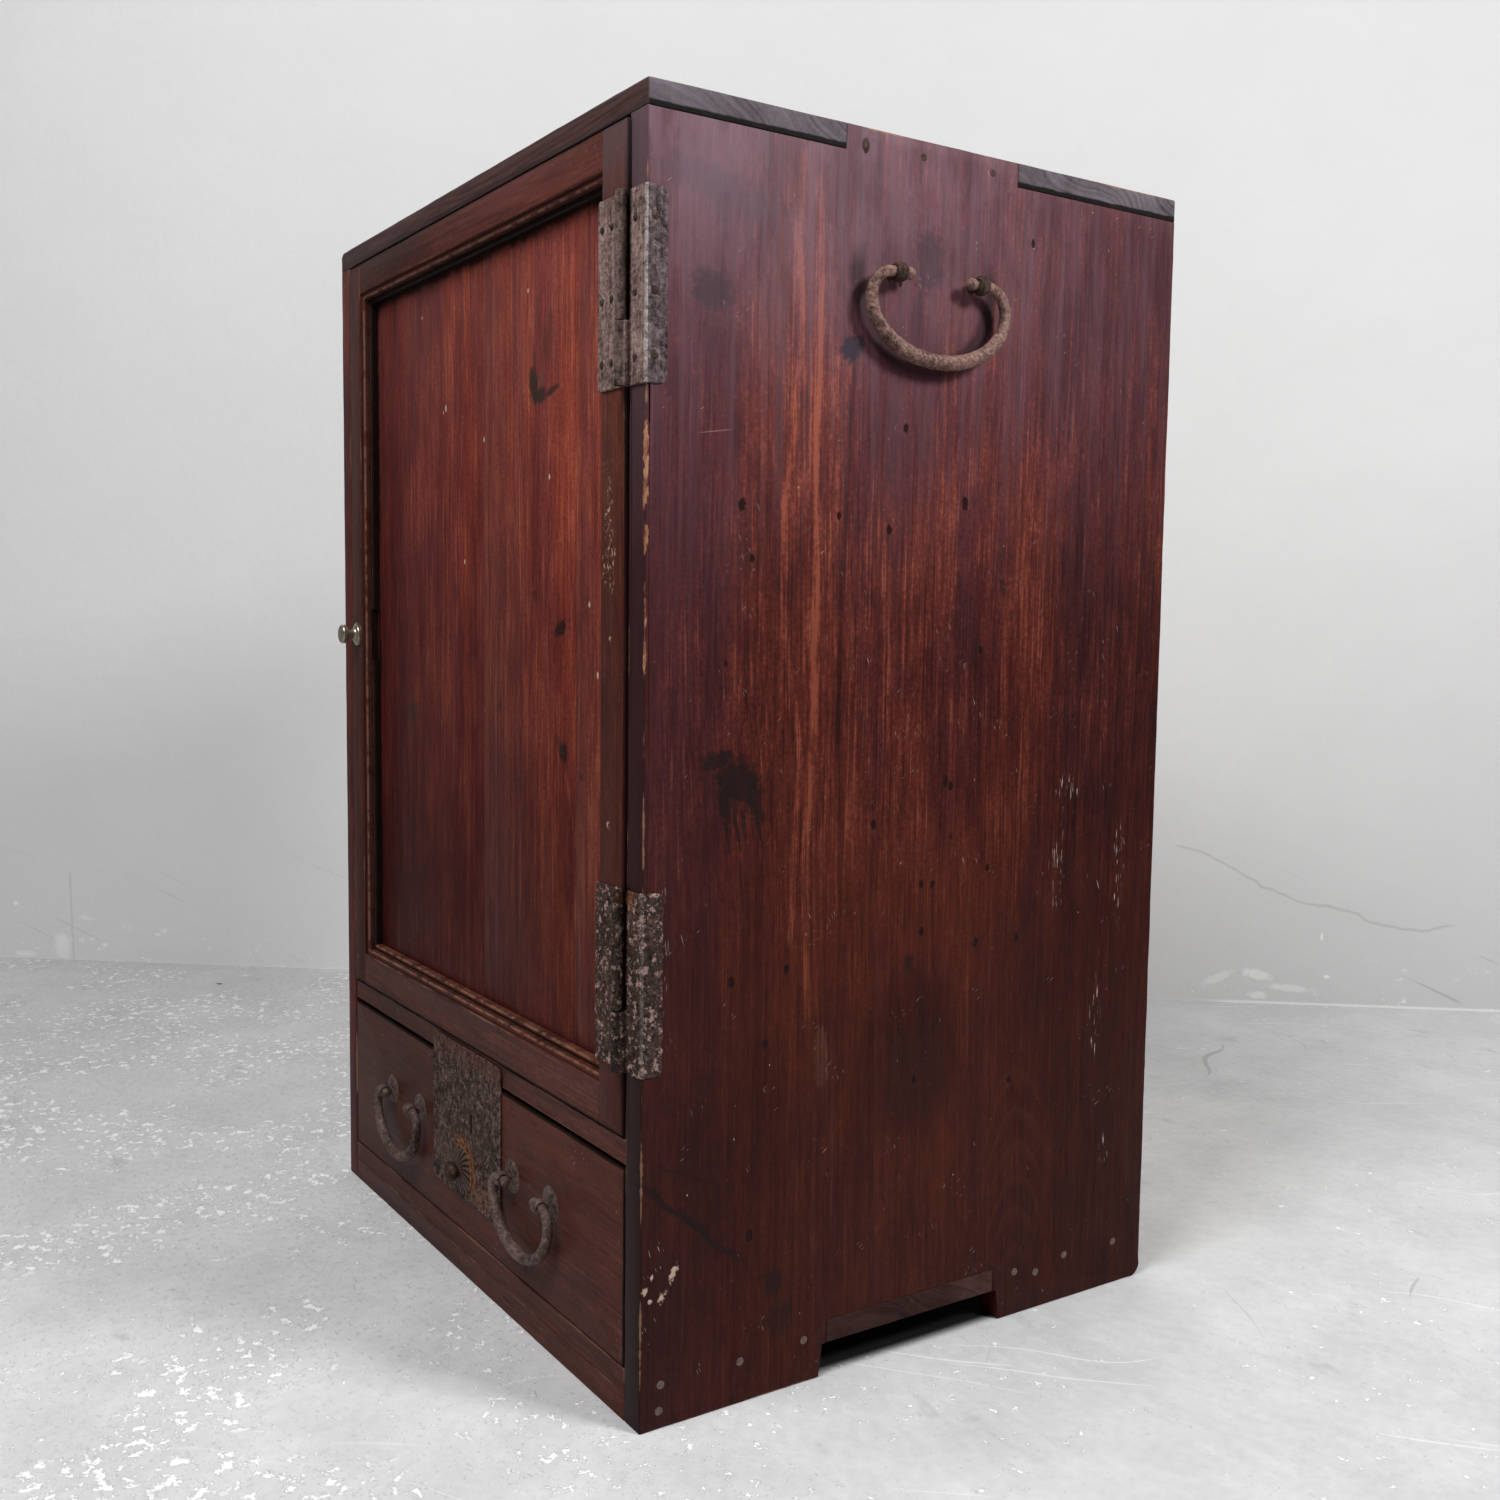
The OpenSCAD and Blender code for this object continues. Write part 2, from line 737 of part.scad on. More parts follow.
module back_board(x0, x1) {
    color(wood_inner) at_front() difference() {
        block([x0, back_y, foot_h], [x1, body_d, top_z]);
        back_nails_shape(run_gap);
    }
}

module back_board_left() {
    back_board(-half_in - rebate_w, half_in * back_seams[0]);
}

module back_board_middle() {
    back_board(half_in * back_seams[0], half_in * back_seams[1]);
}

module back_board_right() {
    back_board(half_in * back_seams[1], half_in + rebate_w);
}

module shelf_board() {
    color(wood_inner) at_front()
        block([-half_in + shelf_side_gap, shelf_y, shelf_z],
              [half_in - shelf_side_gap, back_y - shelf_side_gap, shelf_z + shelf_t]);
}

module shelf_cleat(side) {
    color(wood_inner) at_front()
        block([side > 0 ? half_in - cleat_s : -half_in, shelf_y + cleat_end, shelf_z - cleat_s],
              [side > 0 ? half_in : -half_in + cleat_s, back_y - cleat_end, shelf_z]);
}

module shelf_cleat_left() {
    shelf_cleat(-1);
}

module shelf_cleat_right() {
    shelf_cleat(1);
}

module door_stop() {
    stop_y = door_back + rest_gap;
    color(wood_inner) at_front()
        block([-half_in, stop_y, top_z - cleat_s], [half_in, stop_y + cleat_s, top_z]);
}

module side_pegs() {
    color(wood_inner) at_front() pegs(0);
}

module top_nails() {
    color(iron) at_front() top_nails_shape(0);
}

module back_nails() {
    color(iron) at_front() back_nails_shape(0);
}

// Hinge nails on the carcass: on the front edge and on the side of the right board.
module each_carcass_hinge_nail() {
    for (zc = hinge_zs) {
        for (rise = nail_rises) {
            z = zc + hinge_h * rise;
            translate([axis_x + front_nail_in, -leaf_t, z]) rotate([90, 0, 0]) children();
            translate([half_w + leaf_t, wrap_nail_in, z]) rotate([0, 90, 0]) children();
        }
    }
}

module each_door_hinge_nail() {
    for (zc = hinge_zs) {
        for (rise = nail_rises) {
            for (inset = door_nail_ins) {
                translate([axis_x - inset, door_face - leaf_t, zc + hinge_h * rise])
                    rotate([90, 0, 0]) children();
            }
        }
    }
}

// The knuckle of a leaf, from z0 to z1 on the hinge axis.
module knuckle(z0, z1) {
    translate([axis_x, axis_y, z0]) cylinder(r = barrel_r, h = z1 - z0);
}

module knuckle_bore(z0, z1) {
    translate([axis_x, axis_y, z0 - cut]) cylinder(r = bore_r, h = z1 - z0 + 2 * cut);
}

// The carcass leaf wraps the front-right edge and carries the shorter lower knuckle.
module carcass_leaf(zc) {
    z0 = zc - hinge_h / 2;
    z1 = zc + hinge_h / 2;
    split = z0 + hinge_h * knuckle_share;
    color(iron_worn) at_front() difference() {
        union() {
            block([axis_x + leaf_notch, -leaf_t, z0], [half_w, 0, z1]);
            across(half_w, leaf_t) round_ends(0, hinge_wrap, z0, z1, leaf_corner_r, false, true);
            intersection() {
                translate([half_w, 0, z0]) cylinder(r = leaf_t, h = z1 - z0);
                block([half_w, -leaf_t, z0], [half_w + leaf_t, 0, z1]);
            }
            knuckle(z0, split);
            block([axis_x + rest_gap, axis_y, z0], [axis_x + leaf_notch + cut, 0, split]);
        }
        knuckle_bore(z0, split);
        each_carcass_hinge_nail() leaf_nail_hole(leaf_t, hinge_nail_l);
    }
}

module hinge_upper_carcass_leaf() {
    carcass_leaf(hinge_zs[1]);
}

module hinge_lower_carcass_leaf() {
    carcass_leaf(hinge_zs[0]);
}

// The door leaf carries the longer upper knuckle and is notched round the lower one.
module door_leaf(zc) {
    z0 = zc - hinge_h / 2;
    z1 = zc + hinge_h / 2;
    split = z0 + hinge_h * knuckle_share + knuckle_gap;
    color(iron_worn) at_front() difference() {
        union() {
            behind(door_face - leaf_t, leaf_t) difference() {
                round_ends(axis_x - hinge_leaf_w, axis_x, z0, z1, leaf_corner_r / 2, true, false);
                translate([axis_x - leaf_notch, z0 - cut]) square([leaf_notch + cut, split - z0 + cut]);
            }
            knuckle(split, z1);
        }
        knuckle_bore(split, z1);
        each_door_hinge_nail() leaf_nail_hole(leaf_t, nail_l);
    }
}

module hinge_upper_door_leaf() {
    door_leaf(hinge_zs[1]);
}

module hinge_lower_door_leaf() {
    door_leaf(hinge_zs[0]);
}

module hinge_pins() {
    color(iron) at_front() for (zc = hinge_zs) {
        translate([axis_x, axis_y, zc - hinge_h / 2]) cylinder(r = pin_r, h = hinge_h);
    }
}

module hinge_carcass_nails() {
    color(iron) at_front() each_carcass_hinge_nail() leaf_nail(leaf_t, hinge_nail_l);
}

module hinge_door_nails() {
    color(iron) at_front() each_door_hinge_nail() leaf_nail(leaf_t, nail_l);
}

module carrying_posts() {
    color(iron) at_front() each_grip_post()
        eye_post(grip_out, grip_eye_r, grip_eye_half, grip_stem_r, grip_end_r, side_t);
}

// Door frame. The rails' tenons go into blind mortises in the stiles.
module panel_groove(x0, x1, z0, z1) {
    block([x0, panel_y, z0], [x1, panel_y + panel_t, z1]);
}

module rail_tenons(z0, z1) {
    for (x = [[open_x0 - door_tenon_l, open_x0 + cut], [open_x1 - cut, open_x1 + door_tenon_l]]) {
        block([x[0], tenon_y, z0], [x[1], tenon_y + door_tenon_t, z1]);
    }
}

module both_tenons() {
    rail_tenons(door_z0 + tenon_edge, open_z0 - tenon_inner);
    rail_tenons(open_z1 + tenon_inner, door_z1 - tenon_edge);
}

module door_stile_lock() {
    color(wood_frame) at_front() difference() {
        block([-door_half, door_face, door_z0], [open_x0, door_back, door_z1]);
        panel_groove(open_x0 - groove_d, open_x0 + cut, open_z0 - groove_d, open_z1 + groove_d);
        both_tenons();
        rod_y([knob_x, door_face - cut, knob_z], spindle_r + rest_gap, door_t + 2 * cut);
    }
}

module door_stile_hinge() {
    color(wood_frame) at_front() difference() {
        block([open_x1, door_face, door_z0], [door_half, door_back, door_z1]);
        panel_groove(open_x1 - cut, open_x1 + groove_d, open_z0 - groove_d, open_z1 + groove_d);
        both_tenons();
        each_door_hinge_nail() leaf_nail_hole(leaf_t, nail_l);
    }
}

module door_rail_top() {
    color(wood_frame) at_front() union() {
        difference() {
            block([open_x0, door_face, open_z1], [open_x1, door_back, door_z1]);
            panel_groove(open_x0 - cut, open_x1 + cut, open_z1 - cut, open_z1 + groove_d);
        }
        rail_tenons(open_z1 + tenon_inner, door_z1 - tenon_edge);
    }
}

module door_rail_bottom() {
    color(wood_frame) at_front() union() {
        difference() {
            block([open_x0, door_face, door_z0], [open_x1, door_back, open_z0]);
            panel_groove(open_x0 - cut, open_x1 + cut, open_z0 - groove_d, open_z0 + cut);
        }
        rail_tenons(door_z0 + tenon_edge, open_z0 - tenon_inner);
    }
}

// Three boards glued edge to edge, held in the frame's groove.
module door_panel(x0, x1) {
    color(wood_panel) at_front() difference() {
        block([x0, panel_y, open_z0 - panel_in], [x1, panel_y + panel_t, open_z1 + panel_in]);
        each_door_hinge_nail() leaf_nail_hole(leaf_t, nail_l);
    }
}

module door_panel_left() {
    door_panel(open_x0 - panel_in, panel_seam_a);
}

module door_panel_middle() {
    door_panel(panel_seam_a, panel_seam_b);
}

module door_panel_right() {
    door_panel(panel_seam_b, open_x1 + panel_in);
}

// Section of the moulding: x runs in from the frame's edge, y runs back from the frame's face.
module mould_section() {
    bead = mould_w * 0.52;
    bead_r = 1.6;
    union() {
        translate([0, mould_first + bead_r]) square([bead, panel_recess - mould_first - bead_r]);
        translate([0, mould_first]) square([bead - bead_r, bead_r + cut]);
        translate([bead - bead_r, mould_first + bead_r]) circle(r = bead_r);
        translate([0, mould_second + bead_r]) square([mould_w, panel_recess - mould_second - bead_r]);
        translate([0, mould_second]) square([mould_w - bead_r, bead_r + cut]);
        translate([mould_w - bead_r, mould_second + bead_r]) circle(r = bead_r);
    }
}

// A strip of moulding along +X from the origin, mitred at both ends. It grows towards +Z.
module mould_strip(l) {
    intersection() {
        translate([0, door_face, 0]) rotate([90, 0, 90]) linear_extrude(l)
            mirror([1, -1]) mould_section();
        behind(door_face, door_t) polygon([[0, 0], [l, 0], [l - mould_w, mould_w], [mould_w, mould_w]]);
    }
}

module moulding_bottom() {
    color(wood_frame) at_front() translate([open_x0, 0, open_z0]) mould_strip(open_x1 - open_x0);
}

module moulding_top() {
    color(wood_frame) at_front() translate([open_x1, 0, open_z1])
        rotate([0, 180, 0]) mould_strip(open_x1 - open_x0);
}

module moulding_right() {
    color(wood_frame) at_front() translate([open_x1, 0, open_z0])
        rotate([0, -90, 0]) mould_strip(open_z1 - open_z0);
}

// The left moulding has a narrow slot beside the knob, where an older catch was let in.
module moulding_left() {
    color(wood_frame) at_front() difference() {
        translate([open_x0, 0, open_z1]) rotate([0, 90, 0]) mould_strip(open_z1 - open_z0);
        block([open_x0 + mould_w * 0.55, door_face + mould_second - cut, knob_z - mould_slot_l / 2],
              [open_x0 + mould_w + cut, panel_y - 0.5, knob_z + mould_slot_l / 2]);
    }
}

// Knob. Its spindle goes through the door and turns the latch tongue behind it.
module knob_rose() {
    color(brass) at_front() translate([knob_x, door_face, knob_z]) rotate([90, 0, 0]) difference() {
        rotate_extrude($fn = 64) polygon([
            [0, 0], [knob_rose_r, 0], [knob_rose_r, 1], [knob_rose_r * 0.82, 1.5],
            [knob_rose_r * 0.78, 2.2], [knob_rose_r * 0.56, knob_rose_h * 0.75],
            [knob_rose_r * 0.5, knob_rose_h], [0, knob_rose_h]
        ]);
        translate([0, 0, -cut]) cylinder(r = spindle_r + run_gap, h = knob_rose_h + 2 * cut);
    }
}

module knob() {
    spindle_l = door_t + tongue_gap + tongue_t;
    neck_z = knob_rose_h + rest_gap;
    head_z = knob_l - knob_head_l;
    edge = 1.6;
    color(brass) at_front() translate([knob_x, door_face, knob_z]) rotate([90, 0, 0]) union() {
        rotate_extrude($fn = 64) union() {
            translate([0, neck_z]) square([knob_neck_r, head_z - neck_z + cut]);
            translate([0, head_z]) square([knob_r - edge, knob_head_l]);
            translate([0, head_z + edge]) square([knob_r, knob_head_l - 2 * edge]);
            translate([knob_r - edge, head_z + edge]) circle(r = edge);
            translate([knob_r - edge, knob_l - edge]) circle(r = edge);
        }
        translate([0, 0, -spindle_l]) cylinder(r = spindle_r, h = spindle_l + neck_z + cut);
    }
}

module latch_tongue() {
    color(iron) at_front() difference() {
        behind(tongue_y, tongue_t) translate([knob_x, knob_z]) union() {
            translate([-tongue_w / 2, tongue_round - tongue_l])
                square([tongue_w, tongue_l - tongue_round + tongue_tail]);
            translate([tongue_round - tongue_w / 2, -tongue_l])
                square([tongue_w - 2 * tongue_round, 2 * tongue_round]);
            for (side = [-1, 1]) {
                translate([side * (tongue_w / 2 - tongue_round), tongue_round - tongue_l])
                    circle(r = tongue_round);
            }
        }
        rod_y([knob_x, tongue_y - cut, knob_z], spindle_r, tongue_t + 2 * cut);
    }
}

// Drawer. Its front laps below the bottom board's top and stops against that board's edge.
module drawer_peg_spots() {
    for (side = [-1, 1]) {
        for (share = [0.14, 0.5, 0.86]) {
            z = drawer_side_z0 + (drawer_back_z1 - drawer_side_z0) * share;
            for (y = [drawer_front_t - drawer_rebate / 2, drawer_end - drawer_back_t / 2]) {
                translate([side * drawer_half, y, z]) rotate([0, side * 90, 0]) children();
            }
        }
    }
}

module drawer_front() {
    color(wood_frame) at_front() difference() {
        block([-drawer_half, 0, drawer_z0], [drawer_half, drawer_front_t, drawer_z1]);
        for (side = [-1, 1]) {
            block([side > 0 ? drawer_half - drawer_side_t : -drawer_half - cut,
                   drawer_front_t - drawer_rebate, drawer_side_z0],
                  [side > 0 ? drawer_half + cut : -drawer_half + drawer_side_t,
                   drawer_front_t + cut, drawer_side_z1]);
        }
        block([case_x0, case_y, case_z0], [case_x1, drawer_front_t + cut, case_z1]);
        block([bolt_x0 - rest_gap, bolt_y - rest_gap, case_z1 - cut],
              [bolt_x1 + rest_gap, bolt_y + bolt_t + rest_gap, drawer_z1 + cut]);
        keyhole_cut();
        rod_y([boss_x, -cut, boss_z], boss_stem_r + run_gap, drawer_front_t);
        each_plate_nail() leaf_nail_hole(plate_t, nail_l);
        each_bail_post() rod_y([0, -cut, 0], stem_r + run_gap, drawer_front_t + 2 * cut);
        drawer_peg_spots() peg_hole();
    }
}

module peg_hole() {
    translate([0, 0, -drawer_peg_l]) cylinder(r = drawer_peg_r + run_gap, h = drawer_peg_l + cut);
}

module drawer_side(side) {
    color(wood_inner) at_front() difference() {
        block([side > 0 ? drawer_half - drawer_side_t : -drawer_half,
               drawer_front_t - drawer_rebate, drawer_side_z0],
              [side > 0 ? drawer_half : -drawer_half + drawer_side_t, drawer_end, drawer_side_z1]);
        drawer_peg_spots() peg_hole();
    }
}

module drawer_side_left() {
    drawer_side(-1);
}

module drawer_side_right() {
    drawer_side(1);
}

module drawer_back() {
    color(wood_inner) at_front() difference() {
        block([-drawer_half + drawer_side_t, drawer_end - drawer_back_t, drawer_side_z0],
              [drawer_half - drawer_side_t, drawer_end, drawer_back_z1]);
        drawer_peg_spots() peg_hole();
    }
}

module drawer_bottom() {
    color(wood_inner) at_front()
        block([-drawer_half, drawer_front_t, drawer_floor], [drawer_half, drawer_end, drawer_side_z0]);
}

module drawer_pegs() {
    color(wood_inner) at_front() drawer_peg_spots()
        translate([0, 0, drawer_peg_tip - drawer_peg_l])
            cylinder(r = drawer_peg_r, h = drawer_peg_l - drawer_peg_tip);
}

// Lock. The plate covers the bolt's slot and laps in front of the divider.
module keyhole_outline() {
    translate([keyhole_x, keyhole_z]) union() {
        square([keyhole_w, keyhole_l - keyhole_w], center = true);
        for (end = [-1, 1]) {
            translate([0, end * (keyhole_l - keyhole_w) / 2]) circle(r = keyhole_w / 2);
        }
    }
}

module keyhole_cut() {
    behind(-plate_t - cut, case_y + case_wall + plate_t + 2 * cut) keyhole_outline();
}

module each_plate_nail() {
    low = plate_z0 + plate_nail_in;
    high = drawer_z1 - plate_nail_in;
    for (side = [-1, 1]) {
        for (z = [low, (low + high) / 2, high]) {
            translate([side * (plate_w / 2 - plate_nail_in), -plate_t, z])
                rotate([90, 0, 0]) children();
        }
    }
}

module lock_plate() {
    color(iron) at_front() difference() {
        behind(-plate_t, plate_t)
            round_ends(-plate_w / 2, plate_w / 2, plate_z0, plate_z1, plate_corner_r, true, true);
        keyhole_cut();
        rod_y([boss_x, -plate_t - cut, boss_z], boss_stem_r + run_gap, plate_t + 2 * cut);
        each_plate_nail() leaf_nail_hole(plate_t, nail_l);
    }
}

module lock_boss() {
    color(iron_worn) at_front() translate([boss_x, -plate_t, boss_z]) union() {
        dome(boss_r, boss_h);
        rotate([90, 0, 0]) rotate_extrude($fn = 64) union() {
            translate([0, boss_h / 2]) square([boss_neck_r, bulb_out - boss_h / 2]);
            intersection() {
                translate([0, bulb_out]) scale([bulb_r, bulb_half]) circle(r = 1);
                translate([0, bulb_out - bulb_half]) square([bulb_r, 2 * bulb_half]);
            }
        }
        rod_y([0, -cut, 0], boss_stem_r, plate_t + drawer_front_t * 0.6);
    }
}

module lock_plate_nails() {
    color(iron) at_front() each_plate_nail() leaf_nail(plate_t, nail_l);
}

// Iron case let into the back of the drawer front, open at its back.
module lock_case() {
    color(iron) at_front() difference() {
        block([case_x0, case_y, case_z0], [case_x1, drawer_front_t, case_z1]);
        block([case_x0 + case_wall, case_y + case_wall, case_z0 + case_wall],
              [case_x1 - case_wall, drawer_front_t + cut, case_z1 - case_wall]);
        block([bolt_x0 - rest_gap, bolt_y - rest_gap, case_z1 - case_wall - cut],
              [bolt_x1 + rest_gap, bolt_y + bolt_t + rest_gap, case_z1 + cut]);
        keyhole_cut();
    }
}

module lock_bolt() {
    color(iron_worn) at_front() union() {
        block([bolt_x0, bolt_y, bolt_z0], [bolt_x1, bolt_y + bolt_t, bolt_z1]);
        block([bolt_x0 - bolt_tail_w, bolt_y, bolt_z0],
              [bolt_x1 + bolt_tail_w, bolt_y + bolt_t, bolt_z0 + bolt_tail_h]);
    }
}

module drawer_bail_posts() {
    color(iron) at_front() each_bail_post()
        eye_post(bail_out, bail_eye_r, eye_half, stem_r, bail_end_r, drawer_front_t);
}

module drawer_bail_roses() {
    color(iron_worn) at_front() each_bail_post() difference() {
        dome(rose_r, rose_h);
        rod_y([0, -rose_h - cut, 0], stem_r + run_gap, rose_h + 2 * cut);
    }
}

module drawer_bail(x) {
    color(iron_worn) at_front() translate([x, -bail_out, bail_z])
        bail(bail_span, eye_half, bail_bulge, bail_drop, bail_end_r, bail_mid_r);
}

module drawer_bail_left() {
    drawer_bail(bail_xs[0]);
}

module drawer_bail_right() {
    drawer_bail(bail_xs[1]);
}

module carrying_bail(side) {
    color(iron_worn) at_front() translate([side * (half_w + grip_out), grip_y, grip_z])
        rotate([0, 0, 90]) bail(grip_span, grip_eye_half, grip_bulge, grip_drop, grip_end_r, grip_mid_r);
}

module carrying_bail_left() {
    carrying_bail(-1);
}

module carrying_bail_right() {
    carrying_bail(1);
}

side_board_left();
side_board_right();
top_board();
bottom_board();
front_rail();
apron();
divider_board();
back_board_left();
back_board_middle();
back_board_right();
shelf_board();
shelf_cleat_left();
shelf_cleat_right();
door_stop();
side_pegs();
top_nails();
back_nails();
hinge_upper_carcass_leaf();
hinge_lower_carcass_leaf();
hinge_pins();
hinge_carcass_nails();
carrying_posts();
door_stile_lock();
door_stile_hinge();
door_rail_top();
door_rail_bottom();
door_panel_left();
door_panel_middle();
door_panel_right();
moulding_left();
moulding_right();
moulding_top();
moulding_bottom();
hinge_upper_door_leaf();
hinge_lower_door_leaf();
hinge_door_nails();
knob_rose();
knob();
latch_tongue();
drawer_front();
drawer_side_left();
drawer_side_right();
drawer_back();
drawer_bottom();
drawer_pegs();
lock_plate();
lock_boss();
lock_plate_nails();
lock_case();
lock_bolt();
drawer_bail_posts();
drawer_bail_roses();
drawer_bail_left();
drawer_bail_right();
carrying_bail_left();
carrying_bail_right();
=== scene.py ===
"""Looks of the wooden box chest: a framed door over a drawer, with rusty forged iron fittings."""

import functools
import json
import math
import random

import bmesh
import bpy

from mathutils import Matrix, Vector, noise

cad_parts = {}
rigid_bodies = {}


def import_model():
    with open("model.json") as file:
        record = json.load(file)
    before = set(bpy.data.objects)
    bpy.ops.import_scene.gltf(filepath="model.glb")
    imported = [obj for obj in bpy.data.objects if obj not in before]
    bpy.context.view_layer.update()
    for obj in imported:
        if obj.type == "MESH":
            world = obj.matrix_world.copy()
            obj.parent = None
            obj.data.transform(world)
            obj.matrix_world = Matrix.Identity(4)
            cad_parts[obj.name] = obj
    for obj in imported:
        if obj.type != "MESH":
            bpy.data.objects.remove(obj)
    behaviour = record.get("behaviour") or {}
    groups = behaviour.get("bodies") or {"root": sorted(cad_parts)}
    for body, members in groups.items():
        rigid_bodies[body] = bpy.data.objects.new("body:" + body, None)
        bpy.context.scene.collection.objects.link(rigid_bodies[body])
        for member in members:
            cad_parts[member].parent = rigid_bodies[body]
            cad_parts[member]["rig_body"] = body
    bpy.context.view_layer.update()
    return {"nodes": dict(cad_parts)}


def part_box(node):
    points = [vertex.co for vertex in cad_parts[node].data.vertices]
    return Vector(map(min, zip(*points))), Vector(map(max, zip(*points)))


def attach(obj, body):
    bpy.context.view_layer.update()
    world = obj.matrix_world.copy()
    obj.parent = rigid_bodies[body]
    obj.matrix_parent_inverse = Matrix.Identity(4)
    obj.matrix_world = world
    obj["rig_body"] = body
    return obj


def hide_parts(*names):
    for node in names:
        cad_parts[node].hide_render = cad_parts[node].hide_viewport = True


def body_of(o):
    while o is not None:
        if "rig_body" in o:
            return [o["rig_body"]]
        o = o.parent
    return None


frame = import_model()
nodes = frame["nodes"]

# Where the main faces are, in metres.
SIDE_LOW, SIDE_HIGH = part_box("side_board_right")
FRONT, BACK = SIDE_LOW.y, SIDE_HIGH.y
RIGHT, TOP = SIDE_HIGH.x, SIDE_HIGH.z

MM = 1000
MID_TONE = 0.46
# Near-black colour of painted shade, for gaps and under the top board's front edge.
GAP_SHADE = (0.0045, 0.003, 0.0028)
CASE = (Vector((-RIGHT, FRONT, 0)), Vector((RIGHT, BACK, TOP)))
DOOR = (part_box("door_stile_lock")[0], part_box("door_stile_hinge")[1])
DOOR_IN = (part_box("moulding_left")[0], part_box("moulding_right")[1])


class Value:
    """A value in a material's node tree. It adds, subtracts and multiplies by making math nodes."""

    def __init__(self, shade, socket):
        self.shade, self.socket = shade, socket

    def __add__(self, other):
        return self.shade.math("ADD", self, other)

    def __radd__(self, other):
        return self.shade.math("ADD", other, self)

    def __sub__(self, other):
        return self.shade.math("SUBTRACT", self, other)

    def __rsub__(self, other):
        return self.shade.math("SUBTRACT", other, self)

    def __mul__(self, other):
        return self.shade.math("MULTIPLY", self, other)

    def __rmul__(self, other):
        return self.shade.math("MULTIPLY", other, self)


class Shade:
    """Builds one material's node tree from short calls."""

    def __init__(self, name):
        self.mat = bpy.data.materials.new(name)
        self.mat.use_nodes = True
        self.tree = self.mat.node_tree
        self.tree.nodes.clear()
        self.out = self.node("OutputMaterial")
        self.bsdf = self.node("BsdfPrincipled")
        self.tree.links.new(self.bsdf.outputs[0], self.out.inputs["Surface"])
        self.here = self.get("Object", "TexCoord")
        self.x, self.y, self.z = self.split("SeparateXYZ", self.here)
        self.rags = {}

    def rag(self, fine):
        """The noise that tears the rims of patches, shared by all patches of one fineness."""
        if fine not in self.rags:
            self.rags[fine] = self.noise(fine, 3, 0.6) - 0.5
        return self.rags[fine]

    def put(self, socket, value):
        if isinstance(value, Value):
            self.tree.links.new(value.socket, socket)
        elif isinstance(value, (tuple, list)) and len(value) == 3 and socket.type == "RGBA":
            socket.default_value = (*value, 1)
        else:
            socket.default_value = value

    def node(self, kind, ins=(), **settings):
        """A new shader node of this kind, with its inputs and settings filled in."""
        made = self.tree.nodes.new("ShaderNode" + kind)
        for key, value in settings.items():
            setattr(made, key, value)
        return self.fill(made, dict(ins))

    def fill(self, made, ins):
        for key, value in ins.items():
            self.put(made.inputs[key], value)
        return made

    def get(self, output, kind, ins=(), **settings):
        return Value(self, self.node(kind, ins, **settings).outputs[output])

    def split(self, kind, value):
        return [Value(self, output) for output in self.node(kind, {0: value}).outputs]

    def math(self, op, a, b=0, clamp=False):
        return self.get(0, "Math", {0: a, 1: b}, operation=op, use_clamp=clamp)

    def least(self, *values):
        return functools.reduce(lambda a, b: self.math("MINIMUM", a, b), values)

    def most(self, *values):
        return functools.reduce(lambda a, b: self.math("MAXIMUM", a, b), values)

    def map(self, x, low, high, start=0, end=1, kind="SMOOTHSTEP"):
        ins = {"Value": x, "From Min": low, "From Max": high, "To Min": start, "To Max": end}
        return self.get(0, "MapRange", ins, interpolation_type=kind, clamp=True)

    def fall(self, x, low, high):
        """1 up to low and 0 from high on."""
        return self.map(x, low, high, 1, 0)

    def between(self, x, low, high, soft):
        """1 from low to high and 0 outside, over a soft edge."""
        return self.map(x, low - soft, low + soft) * self.fall(x, high - soft, high + soft)

    def vec(self, x, y, z):
        return self.get(0, "CombineXYZ", {0: x, 1: y, 2: z})

    def stretch(self, v, size, move=(0, 0, 0)):
        return self.get(0, "Mapping", {"Vector": v, "Location": move, "Scale": size})

    def gap(self, a, b):
        return self.get("Value", "VectorMath", {0: a, 1: b}, operation="DISTANCE")

    def far(self, a, b):
        return self.math("SQRT", a * a + b * b)

    def noise(self, scale, detail=2, rough=0.5, v=None):
        ins = {"Vector": v or self.here, "Scale": scale, "Detail": detail, "Roughness": rough}
        return self.get("Fac", "TexNoise", ins)

    def spread(self, size, detail=2, rough=0.5, v=None, move=(0, 0, 0)):
        """Noise that is size times as fine along each axis, over v or the object's own coordinates."""
        return self.noise(1, detail, rough, self.stretch(v or self.here, size, move))

    def cells(self, v, scale):
        made = self.node("TexVoronoi", {"Vector": v, "Scale": scale, "Randomness": 1}, feature="F1")
        return Value(self, made.outputs["Distance"]), Value(self, made.outputs["Color"])

    def mix(self, share, a, b, mode="MIX"):
        return self.get(2, "Mix", {0: share, 6: a, 7: b}, data_type="RGBA", blend_type=mode)

    def blend(self, share, a, b):
        return self.get(0, "Mix", {0: share, 2: a, 3: b}, data_type="FLOAT")

    def ramp(self, x, stops):
        made = self.node("ValToRGB", {"Fac": x})
        line = made.color_ramp
        while len(line.elements) < len(stops):
            line.elements.new(0.5)
        for element, (place, colour) in zip(line.elements, stops):
            element.position = place
            element.color = (*colour, 1)
        return Value(self, made.outputs["Color"])

    def tinted(self, colour, other):
        return self.mix(1, colour, other, "MULTIPLY")

    def grey(self, value):
        return self.get(0, "CombineColor", {0: value, 1: value, 2: value})

    def scaled(self, colour, value):
        return self.tinted(colour, self.grey(value))

